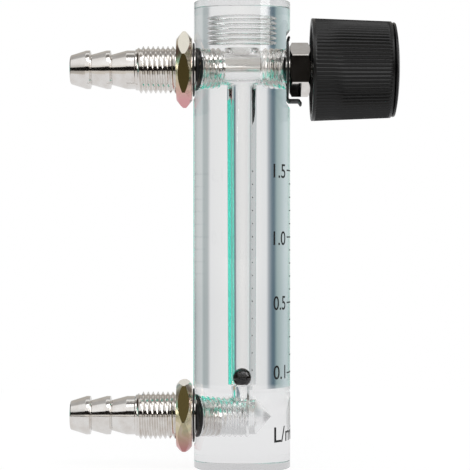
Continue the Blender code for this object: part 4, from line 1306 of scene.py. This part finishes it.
@dataclass
class Studio:
    """White table, studio walls as a world, a dark card, two soft boxes and the camera.

    The walls' colours are given by degrees: of azimuth from straight behind the object, or of elevation.
    """

    floor_radius: float = 210.0 * MM
    # Glow of the table within the painted shadow under the bar.
    glow_in_painted_shadow: float = 0.75
    table_matt: str = "#e6e6e4"
    table_shade: str = "#666666"
    table_seen: str = "#f2f2f2"
    table_mirrored: str = "#d8d8d9"
    card_place: tuple[float, float] = (-110.0 * MM, -250.0 * MM)
    card_width: float = 640.0 * MM
    card_low: float = 49.0 * MM
    card_high: float = 165.0 * MM
    card_tone: str = "#151311"
    far_table: str = "#e9e9ea"
    dark_side: str = "#4b4540"
    matt_light: str = "#fbfbfb"
    matt_level: float = 0.85
    lamp_target: tuple[float, float, float] = (0.0, 0.0, 62.0 * MM)
    camera_place: tuple[float, float, float] = (-1.8 * MM, -408.0 * MM, 58.9 * MM)
    lens: float = 122.6
    behind: ClassVar[Stops] = (
        (-78, "#74b6ac"), (-70, "#8ec2b9"), (-64, "#c6dbda"), (-50, "#c0ced2"), (-36, "#9caeae"), (-33, "#90a4a6"),
        (-29, "#566c78"), (-26, "#647883"), (-22.5, "#a4abb1"), (-20, "#e2e4e5"), (0, "#eeeeed"), (29, "#e6e7e8"),
        (33, "#afb3b5"), (40, "#abb0b2"), (44, "#c8cbcc"), (100, "#bcc0c0"),
    )
    above: ClassVar[Stops] = (
        (10, "#d8d6d2"), (20, "#b9b5af"), (45, "#c0bcb6"), (60, "#b2b1b0"), (67, "#b6b5b4"), (69, "#ffffff"),
        (78, "#f4f4f2"), (84, "#8b8886"),
    )
    front: ClassVar[Stops] = (
        (-12, "#dcd8d1"), (-9.5, "#2a221d"), (-2.5, "#2a221d"), (-1, "#dedad4"), (20, "#f6f4f0"), (28, "#ffffff"),
        (62, "#f4f4f4"), (70, "#a9a8a7"), (80, "#858382"),
    )

    def build_floor(self) -> None:
        """Lay a round white table top that keeps a faint shadow, with a painted shadow dimming its glow under the bar.
        """
        deselect()
        bpy.ops.mesh.primitive_circle_add(vertices=128, radius=self.floor_radius, fill_type="NGON")
        floor = bpy.context.object
        floor.name = "studio_table"
        material, tree = bare_material("white_laminate")
        path = add_node(tree, "LightPath")
        shown = (path, "Is Camera Ray")
        for ray in ("Is Transmission Ray", "Is Glossy Ray"):
            shown = add_node(tree, "Math", {0: shown, 1: (path, ray)}, operation="MAXIMUM")
        matt = add_node(tree, "BsdfDiffuse", {"Color": linear(self.table_matt)})
        shade = add_node(tree, "BsdfDiffuse", {"Color": linear(self.table_shade)})
        tone = add_node(
            tree, "Mix",
            {0: (path, "Is Camera Ray"), 6: linear(self.table_mirrored), 7: linear(self.table_seen)},
            data_type="RGBA",
        )
        # Painted shadow: the table's glow is dimmed on the disc under the bar, which shows through the bar's base.
        place = add_node(tree, "TexCoord")
        out = add_node(tree, "VectorMath", {0: (place, "Object"), 1: (0.0, 0.0, 0.0)}, operation="DISTANCE")
        rim = {"From Min": BODY_RADIUS - 1.0 * MM, "From Max": BODY_RADIUS, "To Min": self.glow_in_painted_shadow}
        under = add_node(tree, "MapRange", {"Value": (out, "Value")} | rim)
        glow = add_node(tree, "Emission", {"Color": (tone, 2), "Strength": under})
        backed = add_node(tree, "AddShader", {0: glow, 1: shade})
        surface = add_node(tree, "MixShader", {"Fac": shown, 1: matt, 2: backed})
        add_node(tree, "OutputMaterial", {"Surface": surface})
        floor.data.materials.append(material)

    def build_flag(self) -> None:
        """Stand a dark card before the object, which only its mirror finishes reflect, as a dark line."""
        deselect()
        bpy.ops.mesh.primitive_plane_add(
            size=1.0, location=(*self.card_place, (self.card_low + self.card_high) / 2),
            rotation=(math.pi / 2, 0.0, 0.0),
        )
        card = bpy.context.object
        card.name = "studio_flag"
        card.scale = (self.card_width, self.card_high - self.card_low, 1.0)
        bpy.ops.object.transform_apply(location=True, rotation=True, scale=True)
        material, tree = bare_material("flag_black_foil")
        foil = add_node(tree, "Emission", {"Color": linear(self.card_tone), "Strength": 1.0})
        add_node(tree, "OutputMaterial", {"Surface": foil})
        card.data.materials.append(material)
        card.visible_camera = False
        card.visible_diffuse = False
        card.visible_transmission = False
        card.visible_shadow = False

    def build_walls(self, tree: NodeTree) -> tuple[Node, int]:
        """Set the walls' colours by direction, pale behind the object with the dark edges of its screens.

        Args:
            tree: The world's node tree.

        Returns:
            The node with the walls' colour, and its output.
        """
        place = add_node(tree, "TexCoord")
        split = add_node(tree, "SeparateXYZ", {"Vector": (place, "Generated")})
        azimuth = add_node(tree, "Math", {0: (split, "X"), 1: (split, "Y")}, operation="ARCTAN2")
        elevation = add_node(tree, "Math", {0: (split, "Z")}, operation="ARCSINE")
        beside = add_node(tree, "Math", {0: (split, "X")}, operation="ABSOLUTE")
        around, upward, high, low, floor_line, facing, edge = (
            add_node(tree, "MapRange", {"Value": measure, "From Min": start, "From Max": end})
            for measure, start, end in (
                (azimuth, -math.pi, math.pi),
                (elevation, -math.pi / 2, math.pi / 2),
                (elevation, math.radians(14), math.radians(20)),
                (elevation, math.radians(-32), math.radians(-24)),
                (elevation, math.radians(-5.3), math.radians(-5.9)),
                ((split, "Y"), 0.02, -0.12),
                (beside, 0.60, 0.72),
            )
        )
        behind, above, front = (
            add_node(tree, "ValToRGB", {"Fac": line}, tuple(((at + half) / (2 * half), hue) for at, hue in stops))
            for line, half, stops in ((around, 180, self.behind), (upward, 90, self.above), (upward, 90, self.front))
        )
        # Beyond the screens the room is dark on both sides.
        dark = facing
        for share, operation in ((high, "MAXIMUM"), (edge, "MULTIPLY"), (low, "MULTIPLY")):
            dark = add_node(tree, "Math", {0: dark, 1: share}, operation=operation)
        walls = behind
        for share, colour in (
            (high, above),
            (floor_line, linear(self.far_table)),
            (facing, front),
            (dark, linear(self.dark_side)),
        ):
            walls = (add_node(tree, "Mix", {0: share, 6: walls, 7: colour}, data_type="RGBA"), 2)
        return walls

    def build_world(self) -> None:
        """Light the mirrors and the acrylic with the studio's walls, and matt surfaces with a plain level."""
        world = bpy.data.worlds.new("studio_walls")
        bpy.context.scene.world = world
        world.use_nodes = True
        tree = world.node_tree
        tree.nodes.clear()
        studio = add_node(tree, "Background", {"Color": self.build_walls(tree), "Strength": 1.0})
        plain = add_node(tree, "Background", {"Color": linear(self.matt_light), "Strength": self.matt_level})
        white = add_node(tree, "Background", {"Color": (1.0, 1.0, 1.0, 1.0), "Strength": 1.0})
        path = add_node(tree, "LightPath")
        matt = add_node(tree, "Math", {0: (path, "Diffuse Depth"), 1: 0.5}, operation="GREATER_THAN")
        soft = add_node(tree, "MixShader", {"Fac": matt, 1: studio, 2: plain})
        seen = add_node(tree, "MixShader", {"Fac": (path, "Is Camera Ray"), 1: soft, 2: white})
        add_node(tree, "OutputWorld", {"Surface": seen})

    def soft_box(
        self, name: str, azimuth: float, elevation: float, distance: float, size: tuple[float, float], level: float
    ) -> Object:
        """Hang an area lamp that faces the object.

        Args:
            name: Name of the lamp.
            azimuth: Degrees from the viewer's side towards +X.
            elevation: Degrees above the middle of the bar.
            distance: Distance from the middle of the bar.
            size: Width and height.
            level: Brightness of its face, where 1 is white.

        Returns:
            The lamp.
        """
        turn = math.radians(azimuth)
        lift = math.radians(elevation)
        away = Vector((math.sin(turn) * math.cos(lift), -math.cos(turn) * math.cos(lift), math.sin(lift)))
        data = bpy.data.lights.new(name, "AREA")
        data.shape = "RECTANGLE"
        data.size, data.size_y = size
        data.energy = level * math.pi * size[0] * size[1]
        lamp = bpy.data.objects.new(name, data)
        lamp.location = Vector(self.lamp_target) + away * distance
        lamp.rotation_euler = (-away).to_track_quat("-Z", "Y").to_euler()
        lamp.visible_camera = False
        bpy.context.scene.collection.objects.link(lamp)
        return lamp

    def build_camera(self) -> None:
        """Set the camera level with the middle of the bar."""
        data = bpy.data.cameras.new("camera")
        data.lens = self.lens
        data.sensor_width = 36.0
        camera = bpy.data.objects.new("camera", data)
        camera.location = self.camera_place
        camera.rotation_euler = (math.pi / 2, 0.0, 0.0)
        bpy.context.scene.collection.objects.link(camera)
        bpy.context.scene.camera = camera

    def dress(self) -> None:
        """Build the whole studio."""
        scene = bpy.context.scene
        scene.view_settings.view_transform = "Standard"
        scene.cycles.max_bounces = 24
        scene.cycles.transmission_bounces = 20
        scene.cycles.glossy_bounces = 8
        scene.cycles.diffuse_bounces = 3
        self.build_floor()
        self.build_flag()
        self.build_world()
        side = self.soft_box("side_box", azimuth=56.0, elevation=28.0, distance=0.60, size=(0.27, 0.42), level=4.5)
        side.visible_diffuse = False
        self.soft_box("top_box", azimuth=20.0, elevation=62.0, distance=0.70, size=(0.40, 0.30), level=1.8)
        self.build_camera()
        LOG.info("studio ready")


def main() -> None:
    """Build every piece in order and report it."""
    logging.basicConfig(level=logging.INFO, format="%(name)s %(message)s")
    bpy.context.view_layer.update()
    acrylic = Acrylic().make()
    nickel = NickelPlate().make()
    zinc = YellowZinc().make()
    rubber = Rubber().make()
    steel = BlackSteel().make()
    plastic = KnobPlastic().make()

    Studio().dress()
    ClearBody().dress(acrylic)
    FloatBall().dress(GlossBall().make())
    SightStrip().dress(StripPaint().make())
    ScalePrint().dress(Ink().make())
    for port, height, turn, seat in (
        ("outlet", UPPER_PORT, 18.3, 1.5 * MM),
        ("inlet", LOWER_PORT, 55.6, 1.95 * MM),
    ):
        HoseFitting(port, height, seat).dress(nickel)
        SealRing(f"{port}_seal", "root", -10.25 * MM, height, length=2.9 * MM, corner=0.45 * MM).dress(rubber)
        PanelNut(port, height, turn).dress(zinc, rubber)
    ValveBonnet().dress(nickel, steel)
    SealRing("valve_seal", "root", 10.1 * MM, UPPER_PORT).dress(rubber)
    NeedleSpindle().dress(nickel)
    SealRing(
        "spindle_seal", "spindle", 13.0 * MM, UPPER_PORT,
        mid_radius=2.15 * MM, section=1.0 * MM, length=1.0 * MM, corner=0.5 * MM,
    ).dress(rubber)
    Knob().dress(plastic, nickel)


if __name__ == "__main__":
    main()
